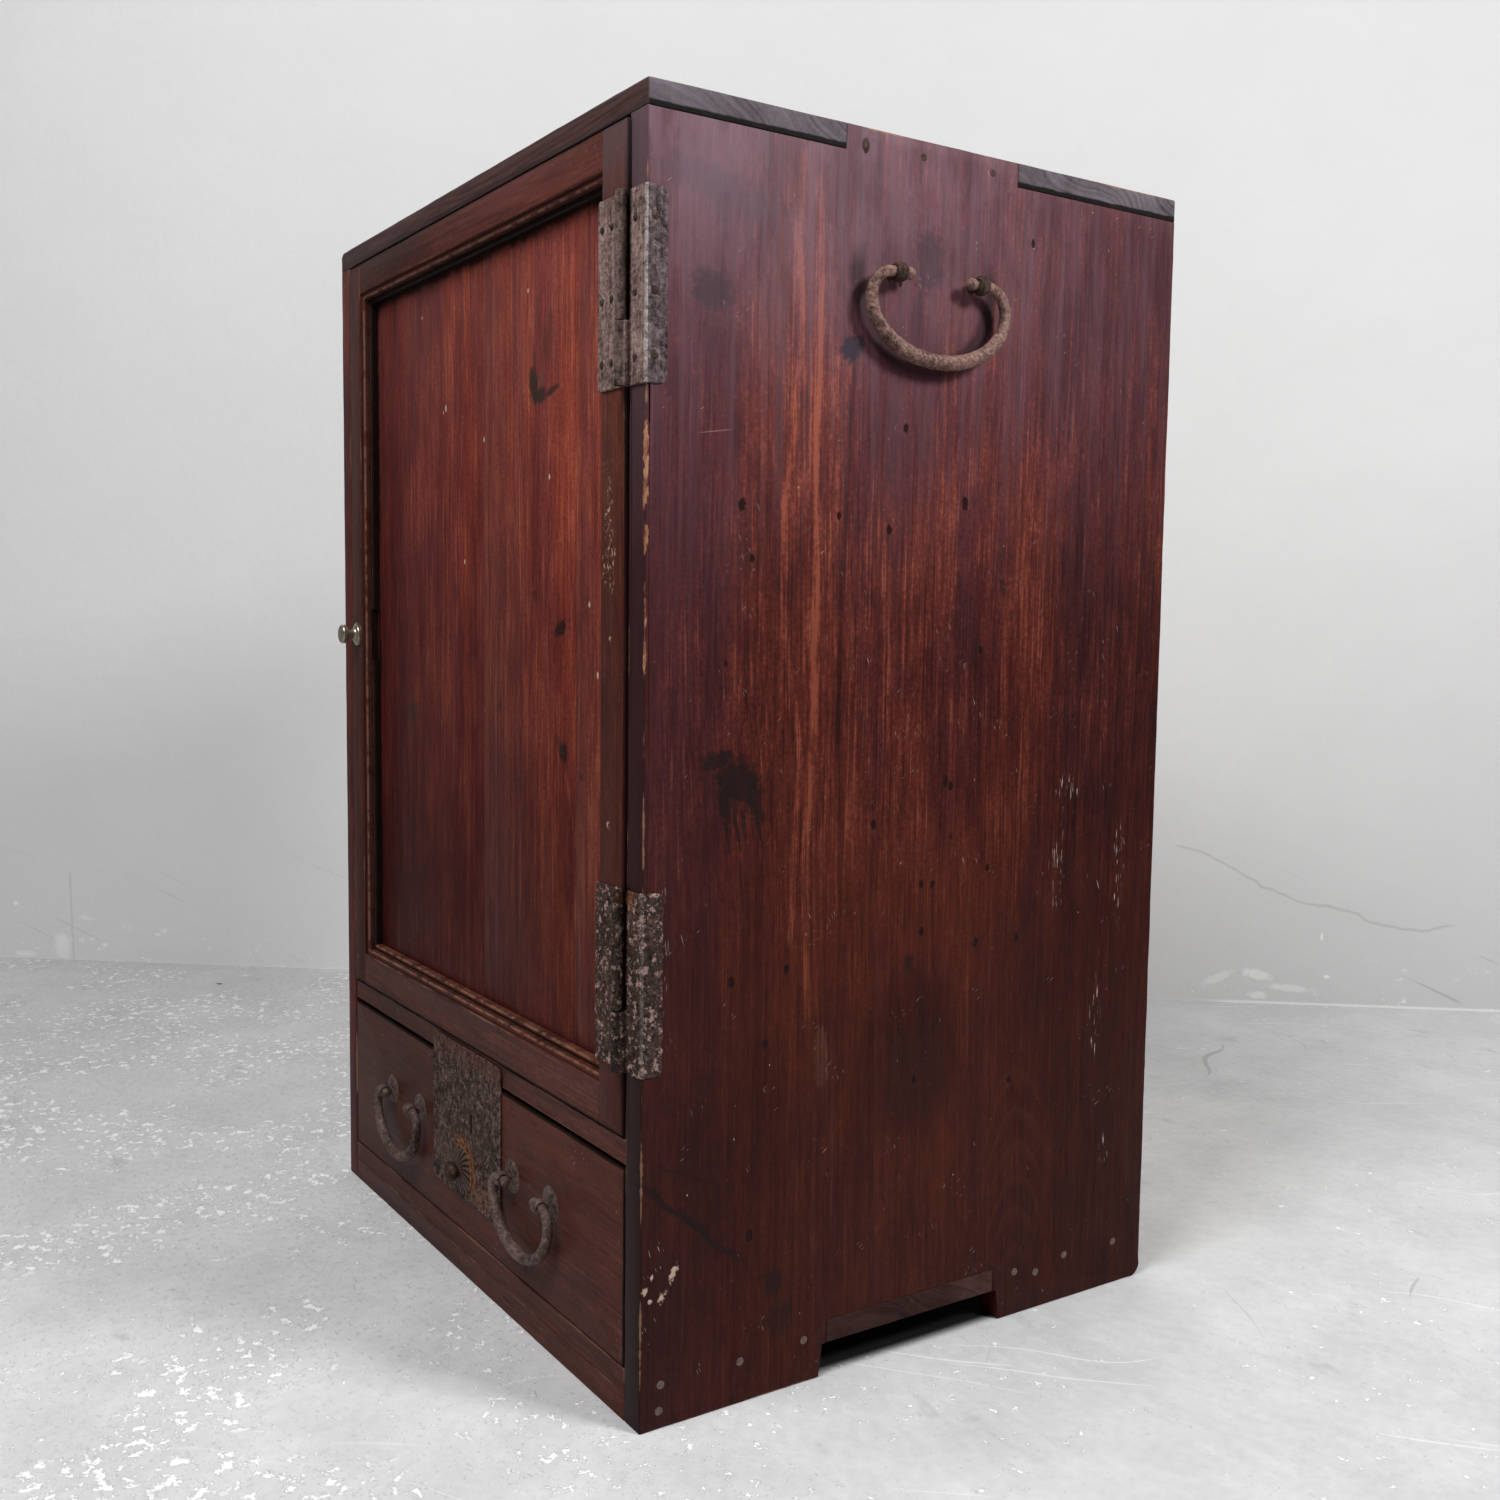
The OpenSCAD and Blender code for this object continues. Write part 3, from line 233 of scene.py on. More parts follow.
    def stain(self, mask, colour, share=1, sunk=0, dull=0):
        """Lays a colour under a mask. sunk lowers the surface there, and dull roughens it."""
        if share != 1:
            mask = mask * share
        self.colour = self.mix(mask, self.colour, colour)
        if sunk:
            self.height = self.height - mask * sunk
        if dull:
            self.rough = self.rough + mask * dull
        return self

    def spot(self, u, v, at, size, turn=0, ragged=0.35, fine=90):
        """A ragged patch round a point of a flat face: 1 at its middle and 0 outside. at and size are in mm."""
        du = u - at[0] / MM
        dv = v - at[1] / MM
        c, k = math.cos(math.radians(turn)) * MM, math.sin(math.radians(turn)) * MM
        a = du * (c / size[0]) + dv * (k / size[0])
        b = dv * (c / size[1]) - du * (k / size[1])
        return self.fall(self.far(a, b) + self.rag(fine) * (ragged * 2.5), 0.5, 1.1)

    def trail(self, u, v, points, width, torn=0):
        """A soft line through points (u, v) that follow each other in v, in mm: 1 on it and 0 outside."""
        points = sorted(((p / MM, q / MM) for p, q in points), key=lambda p: p[1])
        low, high = points[0][1], points[-1][1]
        left = min(p for p, q in points) - 0.001
        reach = max(p for p, q in points) + 0.001 - left
        stops = [((q - low) / (high - low), ((p - left) / reach,) * 3) for p, q in points]
        middle = self.ramp(self.map(v, low, high, kind="LINEAR"), stops) * reach + left
        far = self.math("ABSOLUTE", u + torn - middle)
        ends = self.between(v, low, high, 0.008)
        return self.fall(far, width / MM * 0.25, width / MM) * ends

    def finish(self, colour, rough, height, depth, metal=0, gloss=0.5):
        bump = self.get(0, "Bump", {"Height": height, "Distance": depth, "Strength": 1})
        self.fill(self.bsdf, {"Base Color": colour, "Roughness": rough, "Metallic": metal, "Normal": bump,
                              "Specular IOR Level": gloss})
        return self.mat


def edge_distance(s, low, high):
    """Distance to the nearest edge of a box, for a point on the box's surface."""
    x, y, z = (s.least(value - a, b - value) for value, a, b in zip((s.x, s.y, s.z), low, high))
    return s.most(s.least(x, y), s.least(s.most(x, y), z))


CASE_WOOD = {
    "slot": "case_wood",
    "cool": ((0.022, 0.0062, 0.0085), (0.052, 0.0115, 0.0138), (0.085, 0.0195, 0.022), (0.17, 0.048, 0.045)),
    "warm": ((0.026, 0.006, 0.0056), (0.064, 0.0118, 0.0092), (0.112, 0.0215, 0.0145), (0.24, 0.06, 0.034)),
    "bare": (0.34, 0.19, 0.12), "end": (0.092, 0.077, 0.088), "rough": 0.46, "gloss": 0.07,
}
FRAME_WOOD = {
    "slot": "frame_wood",
    "cool": ((0.012, 0.0055, 0.005), (0.043, 0.0143, 0.0116), (0.084, 0.0275, 0.0208), (0.165, 0.059, 0.044)),
    "warm": ((0.015, 0.0052, 0.004), (0.057, 0.015, 0.0098), (0.112, 0.0292, 0.017), (0.205, 0.06, 0.034)),
    "bare": (0.2, 0.1, 0.07), "end": (0.045, 0.026, 0.024), "rough": 0.48, "gloss": 0.07,
}
PANEL_WOOD = {
    "slot": "panel_wood",
    "cool": ((0.044, 0.0098, 0.0092), (0.092, 0.0175, 0.016), (0.146, 0.033, 0.028), (0.24, 0.07, 0.054)),
    "warm": ((0.056, 0.01, 0.008), (0.118, 0.019, 0.0132), (0.184, 0.037, 0.022), (0.3, 0.084, 0.043)),
    "bare": (0.33, 0.16, 0.08), "end": (0.08, 0.055, 0.05), "rough": 0.46, "gloss": 0.06,
}
BARE_WOOD = {
    "slot": "bare_wood", "cool": ((0.13, 0.07, 0.042), (0.22, 0.13, 0.08), (0.31, 0.2, 0.125), (0.36, 0.245, 0.16)),
    "warm": ((0.15, 0.08, 0.042), (0.25, 0.15, 0.085), (0.34, 0.22, 0.13), (0.4, 0.27, 0.165)),
    "bare": (0.36, 0.26, 0.17), "end": (0.2, 0.14, 0.09), "rough": 0.72, "gloss": 0.25,
}


class Wood(Shade):
    """Straight-grained softwood: broad bands, streaks and fine fibres along the grain, rings on its ends."""

    def __init__(self, name, grain, palette, low, high, seed, sway=1, contrast=1, pace=1):
        super().__init__(name)
        rnd = random.Random(seed)
        self.low, self.high, self.palette = low, high, palette
        index = "xyz".index(grain)
        across = [self.x, self.y, self.z]
        along = across.pop(index)
        self.u, self.v = across
        move = [rnd.uniform(-9, 9) for _ in range(3)]
        plain = self.vec(self.u, self.v, along)
        slow = self.spread((6, 6, 1.5), 2, 0.5, plain, move)
        quick = self.spread((50, 50, 9), 2, 0.5, plain, move)
        bend = (slow - 0.5) * (0.026 * sway) + (quick - 0.5) * 0.0024
        self.cross = self.vec(self.u + bend, self.v + bend, along)
        band = self.spread((62 * pace, 62 * pace, 1.4), 3, 0.6, self.cross, move)
        hue = self.spread((22 * pace, 22 * pace, 2.4), 3, 0.6, self.cross, move)
        hair = self.spread((620, 620, 9), 3, 0.6, self.cross, move)
        self.streak = self.spread((170, 170, 4.5), 3, 0.65, self.cross, move)
        self.fibre = self.spread((430, 430, 15), 4, 0.72, self.cross, move)
        dash = self.spread((330, 330, 46), 3, 0.7, self.cross, move)
        self.cloud = self.spread((9, 9, 7), 4, 0.6, self.here, move)
        self.patch = self.spread((38, 38, 14), 4, 0.65, self.cross, move)
        self.grit = self.noise(380, 3, 0.65)
        self.tone = MID_TONE
        for part, share in (
            (self.fibre, 0.85), (dash, 0.75), (self.streak, 0.55), (band, 0.45), (self.cloud, 0.6),
            (self.patch, 0.75), (self.grit, 0.75),
        ):
            self.lift(part - 0.5, share * contrast)
        self.lift(self.map(hair, 0.57, 0.66), 0.26 * contrast).lift(self.fall(hair, 0.34, 0.43), -0.26 * contrast)
        self.warmth = self.map(hue * 0.6 + self.patch * 0.4, 0.4, 0.6, kind="LINEAR")
        self.end = self.fall(self.least(along - low[index], high[index] - along), 0.0002, 0.0006)

    def lift(self, mask, amount):
        """Moves the tone of the wood under a mask, so that its own streaks turn lighter or darker."""
        self.tone = self.tone + mask * amount
        return self

    def warm(self, mask, amount):
        """Moves the hue of the wood under a mask, from purple red at 0 to orange red at 1."""
        self.warmth = self.math("ADD", self.warmth, mask * amount, clamp=True)
        return self

    def tint(self):
        """Turns tone and hue into colour, after all lifts."""
        p = self.palette
        places = (0, 0.38, 0.66, 1)
        cool = self.ramp(self.tone, list(zip(places, p["cool"])))
        warm = self.ramp(self.tone, list(zip(places, p["warm"])))
        self.colour = self.mix(self.warmth, cool, warm)
        # Slanting growth rings and saw marks on the board's two ends.
        turned = self.vec(self.u, self.v, 0)
        slant = self.u * 0.62 + self.v
        bowed = slant + (self.noise(9, 2, 0.5, turned) - 0.5) * 0.1
        ring = self.noise(240, 3, 0.7, self.vec(bowed, 0, 0))
        sawn = self.noise(260, 3, 0.7, turned)
        patchy = self.noise(24, 2, 0.5, turned)
        shade = ring * 0.75 + (sawn * 0.25 + (patchy - 0.5) * 0.5)
        dull = self.scaled(p["end"], self.map(shade, 0.3, 0.7, 0.3, 1.85, "LINEAR"))
        self.colour = self.mix(self.end, self.colour, dull)
        self.height = self.fibre * 0.5 + self.streak * 0.3
        self.height = self.blend(self.end, self.height, ring * 0.5 + sawn)
        self.rough = p["rough"] - 0.09 + self.fibre * 0.12 + self.cloud * 0.08 + self.end * 0.2
        return self

    def wear(self, reach, share, colour=None):
        """Lighter, duller wood in broken runs along the box's arrises."""
        far = edge_distance(self, self.low, self.high)
        torn = self.noise(210, 4, 0.7)
        runs = self.noise(16, 3, 0.6)
        limit = torn * self.map(runs, 0.42, 0.66, 0.05, 1.7) * reach
        mask = self.map(limit - far, 0, reach * 0.3)
        return self.stain(mask, colour or self.palette["bare"], share, 0, 0.15)

    def scatter(self, plane, tall, layer, scale, size, share, which, core):
        """Small spots of many sizes, spread over a face. plane gives the face's two coordinates."""
        far, colour = self.cells(self.vec(plane[0], plane[1] * tall, layer), scale)
        pick = self.split("SeparateColor", colour)
        keep = self.map(pick[which], 1 - share, 1 - share + 0.01)
        wide = size * (0.3 + pick[which + 1] * (0.4 + self.grit))
        return self.fall(self.math("DIVIDE", far, wide), core, 1) * keep

    def dents(self, plane, scale, size, share, dark=0.55):
        """Small dark nicks."""
        mark = self.scatter(plane, 0.6, 0, scale, size, share, 0, 0.5)
        return self.stain(mark, self.scaled(self.palette["cool"][0], 0.6), dark, 2)

    def specks(self, plane, scale, size, share, colour, tall):
        """Small pale specks of chipped lacquer, longer along the grain."""
        return self.stain(self.scatter(plane, tall, 3.7, scale, size, share, 1, 0.6), colour, 0.8, -0.5)

    def flecks(self, plane, share=0.1, colour=(0.5, 0.42, 0.37)):
        """Tiny pale chips, and short pale scratches that lean either way."""
        u, v = plane
        self.specks(plane, 95, 0.04, share, colour, 0.7)
        self.specks((u + 3.1, v), 150, 0.05, share * 0.8, colour, 0.5)
        for lean, seed in ((0.35, 2), (-1.2, 5)):
            a = u + v * lean
            hair = self.spread((1500, 90, 1), 1, 0.5, self.vec(a, v - u * lean, seed))
            where = self.noise(34, 2, 0.6, self.vec(u, v, seed))
            mark = self.map(hair, 0.7, 0.76) * self.map(where, 0.6, 0.66)
            self.stain(mark, colour, 0.75, -0.3)
        return self

    def paint_gap_shade(self, low, high, deep=0.001, share=0.9):
        """Painted shade on a front board's hidden edge faces, and in a thin line along its outline, where the gaps
        round it fall dark.
        """
        near = self.least(self.x - low.x, high.x - self.x, self.z - low.z, high.z - self.z)
        torn = self.noise(130, 3, 0.6) * deep
        return self.stain(self.fall(near - torn, -deep * 0.1, deep * 0.55), GAP_SHADE, share)

    def done(self, depth=0.00035):
        return self.finish(self.colour, self.rough, self.height, depth, gloss=self.palette["gloss"])


def new_object(name, data):
    obj = bpy.data.objects.new(name, data)
    bpy.context.scene.collection.objects.link(obj)
    return obj


def paint(obj, mat):
    obj.data.materials.clear()
    obj.data.materials.append(mat)


def on_faces(point, low, high):
    """How many of a box's faces a point lies on."""
    return sum(min(abs(p - a), abs(p - b)) < 2e-5 for p, a, b in zip(point, low, high))


def chop(edge, step):
    """Cuts a long edge into short lengths."""
    near, far = edge.verts
    for left in range(int(edge.calc_length() / step) + 1, 1, -1):
        near = bmesh.utils.edge_split(edge, near, 1 / left)[1]
        edge = next(e for e in near.link_edges if far in e.verts)


def board(name, palette, arris, seam=0.0003, uneven=0.45, step=0.009, case=None, bite=None):
    """A board with rounded, slightly uneven arrises, made from its CAD solid.

    arris rounds the edges on the outside of the case box, and seam the others, so that a joint shows as a
    fine line. uneven is how far the rounding wanders, and bite gives a factor for the rounding at a point.
    """
    node, slot = nodes[name], palette["slot"]
    low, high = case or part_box(name)
    bm = bmesh.new()
    bm.from_mesh(node.data)
    bmesh.ops.remove_doubles(bm, verts=bm.verts, dist=2e-6)
    bmesh.ops.dissolve_limit(bm, angle_limit=math.radians(0.5), verts=bm.verts, edges=bm.edges)

    def sharp(edge):
        return len(edge.link_faces) == 2 and edge.is_convex and edge.calc_face_angle() > math.radians(50)

    def outer(edge):
        middle = (edge.verts[0].co + edge.verts[1].co) / 2
        return all(on_faces(p, low, high) >= 2 for p in (edge.verts[0].co, edge.verts[1].co, middle))

    weight = bm.edges.layers.float.new("bevel_weight_edge")
    for edge in bm.edges:
        edge.smooth = len(edge.link_faces) == 2 and edge.calc_face_angle() < math.radians(30)
    for edge in [e for e in bm.edges if sharp(e) and e.calc_length() > 0.008]:
        edge.smooth = True
        edge[weight] = seam / arris
        if outer(edge):
            chop(edge, step)
    for edge in [e for e in bm.edges if sharp(e) and outer(e)]:
        middle = (edge.verts[0].co + edge.verts[1].co) / 2
        wander = noise.noise(middle * 40) + 0.7 * noise.noise(middle * 170)
        edge[weight] = min(1, 0.4 * (1 + uneven * wander) * (bite(middle) if bite else 1))
    for face in bm.faces:
        face.smooth = True
    mesh = bpy.data.meshes.new(name + "_worn")
    bm.to_mesh(mesh)
    bm.free()
    obj = new_object(name + "_worn", mesh)
    bevel = obj.modifiers.new("arris", "BEVEL")
    bevel.limit_method = "WEIGHT"
    bevel.width = arris / 0.4
    bevel.segments = 3
    bevel.use_clamp_overlap = False
    bevel.harden_normals = True
    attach(obj, body_of(node)[0])
    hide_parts(name)
    return obj


def wood(name, grain, palette, seed, **more):
    return Wood(name + "_wood", grain, palette, *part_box(name), seed, **more)


def front_chips(w):
    """Cream flecks on the hinge stile, where the door has rubbed against something."""
    bits = w.spread((520, 520, 300), 3, 0.7)
    for x, z, wide, tall, least in (
        (203.5, 505, 6, 30, 0.58), (205, 488, 6, 20, 0.56), (199, 483, 3, 10, 0.55), (206.5, 446.2, 2.5, 3, 0.5),
        (205, 341.7, 2.5, 3, 0.5), (209.8, 494.5, 3, 3, 0.48),
    ):
        zone = w.spot(w.x, w.z, (x, z), (wide, tall), 0, 0.4, 90)
        w.stain(zone * w.map(bits, least, least + 0.03), (0.46, 0.31, 0.23), 0.9, -0.4)


def case_boards():
    """The chest's own boards, and the door's frame and the drawer's front."""
    rows = [("top_board", "x", CASE_WOOD, 12, CASE, 0.0012),
            ("bottom_board", "x", dict(CASE_WOOD, end=(0.03, 0.0135, 0.012)), 13, CASE, 0.0012),
            ("side_board_left", "z", CASE_WOOD, 11, CASE, 0.0012), ("front_rail", "x", FRAME_WOOD, 14, None, 0.0006),
            ("apron", "x", FRAME_WOOD, 15, None, 0.0008), ("divider_board", "x", FRAME_WOOD, 16, None, 0.0006),
            ("door_stile_lock", "z", FRAME_WOOD, 17, DOOR, 0.0008),
            ("door_stile_hinge", "z", FRAME_WOOD, 18, DOOR, 0.0008),
            ("door_rail_top", "x", FRAME_WOOD, 19, DOOR, 0.0008),
            ("door_rail_bottom", "x", FRAME_WOOD, 20, DOOR, 0.0008),
            ("drawer_front", "x", FRAME_WOOD, 21, None, 0.001)]
    for name, grain, palette, seed, case, arris in rows:
        smooth = 0.45 if name == "drawer_front" else 0.62 if palette is FRAME_WOOD else 1
        w = wood(name, grain, palette, seed, contrast=smooth)
        if palette is FRAME_WOOD:
            # Painted light: the frame's boards grow lighter towards the right.
            rise = 0.25 if name == "door_rail_bottom" else 0.19 if name.startswith("door") else 0.13
            w.warm(1, -0.15).lift(w.map(w.x, -0.16, 0.2), rise)
        w.tint()
        if name == "bottom_board":
            w.colour = w.scaled(w.colour, w.map(w.y, 0.03, 0.06, 1, 1.9))
        if palette is FRAME_WOOD:
            w.stain(w.map(w.patch, 0.5, 0.62), (0.016, 0.0085, 0.008), 0.35)
        w.wear(0.0013, 0.62)
        face = (w.y, w.z) if name.startswith("side") else (w.x, w.z)
        w.dents(face, 30, 0.07, 0.4).flecks(face)
        # Painted shade in the gaps round the door's frame and round the drawer's front.
        if name.startswith("door"):
            w.paint_gap_shade(*DOOR, 0.002)
        elif name == "drawer_front":
            w.paint_gap_shade(*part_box(name), 0.0013)
        if name == "door_stile_hinge":
            w.stain(w.map(w.z, 0.67, 0.72), (0.105, 0.066, 0.075), 0.6)
            w.stain(w.map(w.z, 0.56, 0.45), (0.036, 0.0075, 0.0075), 0.45)
            front_chips(w)
        elif name == "top_board":
            # Painted shade along the top board's lower front edge, over the door's top.
            w.stain(w.fall(w.z + w.rag(90) * 0.002, 0.728, 0.7293), GAP_SHADE, 0.95)
            w.stain(w.fall(w.y, FRONT + 0.0006, FRONT + 0.0014),
                    w.scaled((0.058, 0.036, 0.035), w.map(w.fibre, 0.3, 0.7, 0.4, 1.6, "LINEAR")), 0.8)
        elif name == "door_rail_top":
            w.stain(w.map(w.x, -0.15, 0.1) * w.map(w.streak, 0.36, 0.6, 0.3, 1), (0.118, 0.038, 0.036), 0.55)
        paint(board(name, palette, arris, case=case), w.done())


def mouldings():
    for i, name in enumerate(("moulding_left", "moulding_right", "moulding_top", "moulding_bottom")):
        w = wood(name, "x" if name.endswith(("top", "bottom")) else "z", FRAME_WOOD, 30 + i, contrast=0.5)
        w.tint()
        inner = {"left": w.x - DOOR_IN[0].x, "right": DOOR_IN[1].x - w.x, "top": DOOR_IN[1].z - w.z,
                 "bottom": w.z - DOOR_IN[0].z}[name[9:]]
        # Painted shade and dirt in the two grooves, and worn lines along the two beads, paler on the bottom moulding
        # as a painted highlight where it faces up to the light.
        groove_shade = w.most(w.fall(inner, 0, 0.0007), w.between(inner, 0.0042, 0.0054, 0.0003))
        bead = w.most(w.between(inner, 0.0026, 0.004, 0.0005), w.between(inner, 0.0066, 0.0079, 0.0005))
        worn = w.map(w.noise(110, 4, 0.7), 0.4, 0.54)
        low = name.endswith("bottom")
        w.stain(bead * worn, (0.25, 0.112, 0.07) if low else (0.19, 0.096, 0.078), 0.8)
        # Painted shadow over the top moulding's inner half, and painted shade lines in the left moulding.
        if name.endswith("top"):
            groove_shade = w.most(groove_shade, w.map(inner, 0.005, 0.0058))
        elif name.endswith("left"):
            clear = w.map(w.math("ABSOLUTE", inner - 0.0062), 0.0003, 0.0007)
            groove_shade = w.most(groove_shade, w.map(inner, 0.0044, 0.005) * clear)
        w.stain(groove_shade, (0.0045, 0.0028, 0.0026), 0.95)
        paint(nodes[name], w.done())


def inside_boards():
    starts = "back_board", "shelf", "drawer_side", "drawer_back", "drawer_bottom", "door_stop"
    for i, name in enumerate(sorted(n for n in nodes if n.startswith(starts))):
        runs_back = name.startswith(("drawer_side", "shelf_cleat"))
        grain = "z" if name.startswith("back_board") else "y" if runs_back else "x"
        w = wood(name, grain, BARE_WOOD, 50 + i).tint().wear(0.002, 0.3)
        paint(board(name, BARE_WOOD, 0.0007), w.done())


def side_face():
    """The right side board, with the streaks, smears, nicks and worn edge that the photo shows."""
    w = wood("side_board_right", "z", CASE_WOOD, 7, sway=0.8, contrast=1.08, pace=1.35)
    y, z = w.y, w.z
    # Broad zones where the wood's own streaks run brighter or darker.
    w.tone = w.blend(w.map(z, 0.22, 0.42), (w.tone - MID_TONE) * 0.55 + MID_TONE, w.tone)
    w.warm(w.fall(z, 0.42, 0.62), 0.35).warm(w.map(z, 0.52, 0.7), -0.35).warm(w.fall(y, -0.185, -0.12), -0.6)
    for at, size, amount, heat in (
        ((-95, 550), (40, 260), 0.12, 0.7), ((-70, 300), (50, 150), 0.05, 0.5), ((90, 490), (30, 100), 0.1, 0.6),
        ((2, 490), (25, 70), 0.12, 0.7), ((45, 340), (70, 100), 0.06, 0.6), ((-5, 190), (50, 60), -0.2, 0),
        ((150, 200), (60, 220), -0.06, 0.2), ((30, 400), (30, 90), -0.09, -0.3), ((-20, 600), (35, 100), -0.07, -0.6),
        ((130, 600), (60, 100), -0.05, -0.4), ((-155, 560), (35, 140), -0.05, -0.3),
        ((-130, 160), (50, 80), -0.08, 0), ((155, 410), (55, 130), -0.1, -0.2),
    ):
        zone = w.spot(y, z, at, size, 0, 0.5, 14)
        w.lift(zone, amount).warm(zone, heat)
    wander = (w.spread((1, 60, 14), 2) - 0.5) * 0.004
    broken = w.map(w.spread((1, 500, 18), 3, 0.6), 0.36, 0.58, 0.25, 1)
    bright = (
        ([(-94.2, 722), (-96.3, 678), (-94.1, 634), (-98.2, 561), (-105.1, 518), (-102.6, 454), (-90.7, 377),
          (-96.3, 270)], 3.4, 0.34),
        ([(-83.5, 705), (-81.1, 648), (-81.7, 606), (-84.3, 562), (-81.3, 519), (-81.5, 452), (-81.7, 393),
          (-86, 319), (-82.5, 220)], 4, 0.42),
        ([(-75, 630), (-71.4, 585)], 2.4, 0.2), ([(-15.3, 729), (-10.9, 680), (-11, 640)], 6, 0.18),
        ([(91.4, 612), (89.8, 555)], 2.2, 0.18), ([(-116.7, 575), (-102.4, 510)], 2.2, 0.18),
        ([(-58.2, 400), (-55.7, 325)], 2.4, 0.18),
    )
    for points, width, amount in bright:
        w.lift(w.trail(y, z, points, width, wander) * broken, amount)
    w.lift(w.trail(y, z, [(-55.3, 615), (-58.6, 564), (-60.6, 520), (-63.5, 455), (-63.8, 380)], 2.6, wander), -0.3)
    w.tint()
    # Arched grain low on the right.
    dy = y - 0.0895
    arch = dy * dy * 52 + z + (w.noise(30) - 0.5) * 0.02
    lines = w.map(w.math("FRACT", arch * 42), 0.55, 0.95)
    lines = lines * w.spot(y, z, (89.5, 105), (36, 75), 0, 0.3, 20)
    w.stain(lines, (0.13, 0.036, 0.018), 0.3)
    # Painted sheen: a purplish reflection towards the front edge and the top.
    front_sheen = w.fall(y, -0.2, -0.1) * w.map(z, 0.1, 0.55, 0.35, 1)
    high = w.map(z, 0.56, 0.74) * w.map(y, -0.2, 0.16, 1, 0.25)
    w.stain(front_sheen * w.map(w.streak, 0.35, 0.62, 1, 0.4), (0.086, 0.03, 0.041), 0.42)
    upper = w.map(z, 0.42, 0.62) * w.map(w.streak, 0.34, 0.58, 1, 0.25)
    w.stain(upper, (0.13, 0.066, 0.08), 0.4)
    w.stain(high * w.map(w.patch, 0.36, 0.6, 0.45, 1), (0.186, 0.122, 0.154), 0.6)
    # Painted shading: darker and browner towards the floor, lighter towards the top and darker towards the back; the
    # front edge face runs from near black low down to paler at the top.
    low = w.fall(z, 0.16, 0.44)
    w.colour = w.mix(low, w.colour, w.tinted(w.colour, (0.84, 0.93, 0.74)))
    down = w.map(z, 0.05, 0.42, 0.66, 0.8) + w.map(z, 0.42, 0.62, 0, 0.48)
    across = w.map(y, 0.03, 0.2, 1, 0.68) * w.map(y, -0.2, -0.08, 0.92, 1)
    w.colour = w.scaled(w.colour, down * across)
    stops = [(0, (0.014, 0.006, 0.006)), (0.7, (0.03, 0.0135, 0.015)), (1, (0.085, 0.056, 0.064))]
    w.stain(w.fall(y, FRONT + 0.0004, FRONT + 0.0012), w.ramp(w.map(z, 0.05, 0.74), stops), 0.75)
    dark = (0.013, 0.007, 0.007)
    blue = (0.04, 0.03, 0.04)
    for at, size, turn, shade, share in (
        ((-133, 366), (19.5, 15), -35, dark, 0.92), ((-147, 379), (15, 6), 8, dark, 0.9),
        ((-142.5, 354), (5, 15), 10, dark, 0.88), ((-140.5, 338), (1.8, 15), 10, dark, 0.85),
        ((-134, 340), (1.7, 17), 12, dark, 0.85), ((-129, 342), (2, 12), 10, dark, 0.8),
        ((-121.5, 352), (5.6, 13), 20, dark, 0.88), ((-119, 340), (1.6, 15), 14, dark, 0.85),
        ((-130, 306), (1.4, 19), 5, dark, 0.6), ((-153.2, 635.5), (15, 13), -20, blue, 0.6),
        ((-58.3, 614.8), (11, 8.5), 30, (0.026, 0.024, 0.036), 0.85), ((-2.2, 670.3), (13, 22), 0, blue, 0.5),
        ((-10, 635), (5, 20), 0, blue, 0.4), ((-150, 690), (50, 12), -14, (0.085, 0.066, 0.088), 0.3),
        ((63.7, 479.7), (2.8, 7.5), 8, dark, 0.6), ((72, 462.9), (3.2, 4), 0, dark, 0.4),
        ((-6.8, 247.7), (4.8, 8), 0, dark, 0.7), ((-104.5, 68.8), (8.5, 10), 10, dark, 0.75),
        ((-99.8, 44.9), (12, 13), -20, dark, 0.55), ((-4.3, 170), (45, 45), 0, (0.034, 0.0125, 0.009), 0.25),
        ((-3.2, 705.5), (7.5, 7.5), 0, (0.14, 0.045, 0.055), 0.45),
        ((27.4, 702.6), (7.5, 7), 0, (0.14, 0.045, 0.055), 0.4),
    ):
        mask = w.spot(y, z, at, size, turn, 0.6, 210)
        if shade is dark:
            mask = mask * w.map(w.streak, 0.34, 0.5, 0.75, 1)
        w.stain(mask, shade, share, 0.4)
    # Painted shadow of the carrying bail: a dark crescent where it rests, set off towards the front, where its shadow
    # falls.
    low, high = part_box("carrying_bail_right")
    reach = (high.y - low.y) / 2 - 0.004
    dy, dz = y - ((low.y + high.y) / 2 - 0.0035), z - (low.z + reach + 0.001)
    far = w.math("ABSOLUTE", w.far(dy, dz) - reach)
    bail_shadow = w.fall(far + w.rag(60) * 0.004, 0.002, 0.0085) * w.fall(dz, 0, 0.022)
    w.stain(bail_shadow, (0.012, 0.006, 0.008), 0.72)
    # A dark run from the front edge down to the patch above the front foot, and its thin branch.
    lean = (w.noise(55, 3) - 0.5) * 0.012
    for points, width, share in (
        ([(-194.3, 145), (-178, 129), (-162.3, 118), (-144, 99), (-130.8, 88)], 3, 0.85),
        ([(-183, 154), (-177.7, 150.3), (-156, 140), (-134.8, 132.6)], 1.8, 0.6),
    ):
        w.stain(w.trail(y, z, points, width * 1.6, lean), dark, share, 0.4)
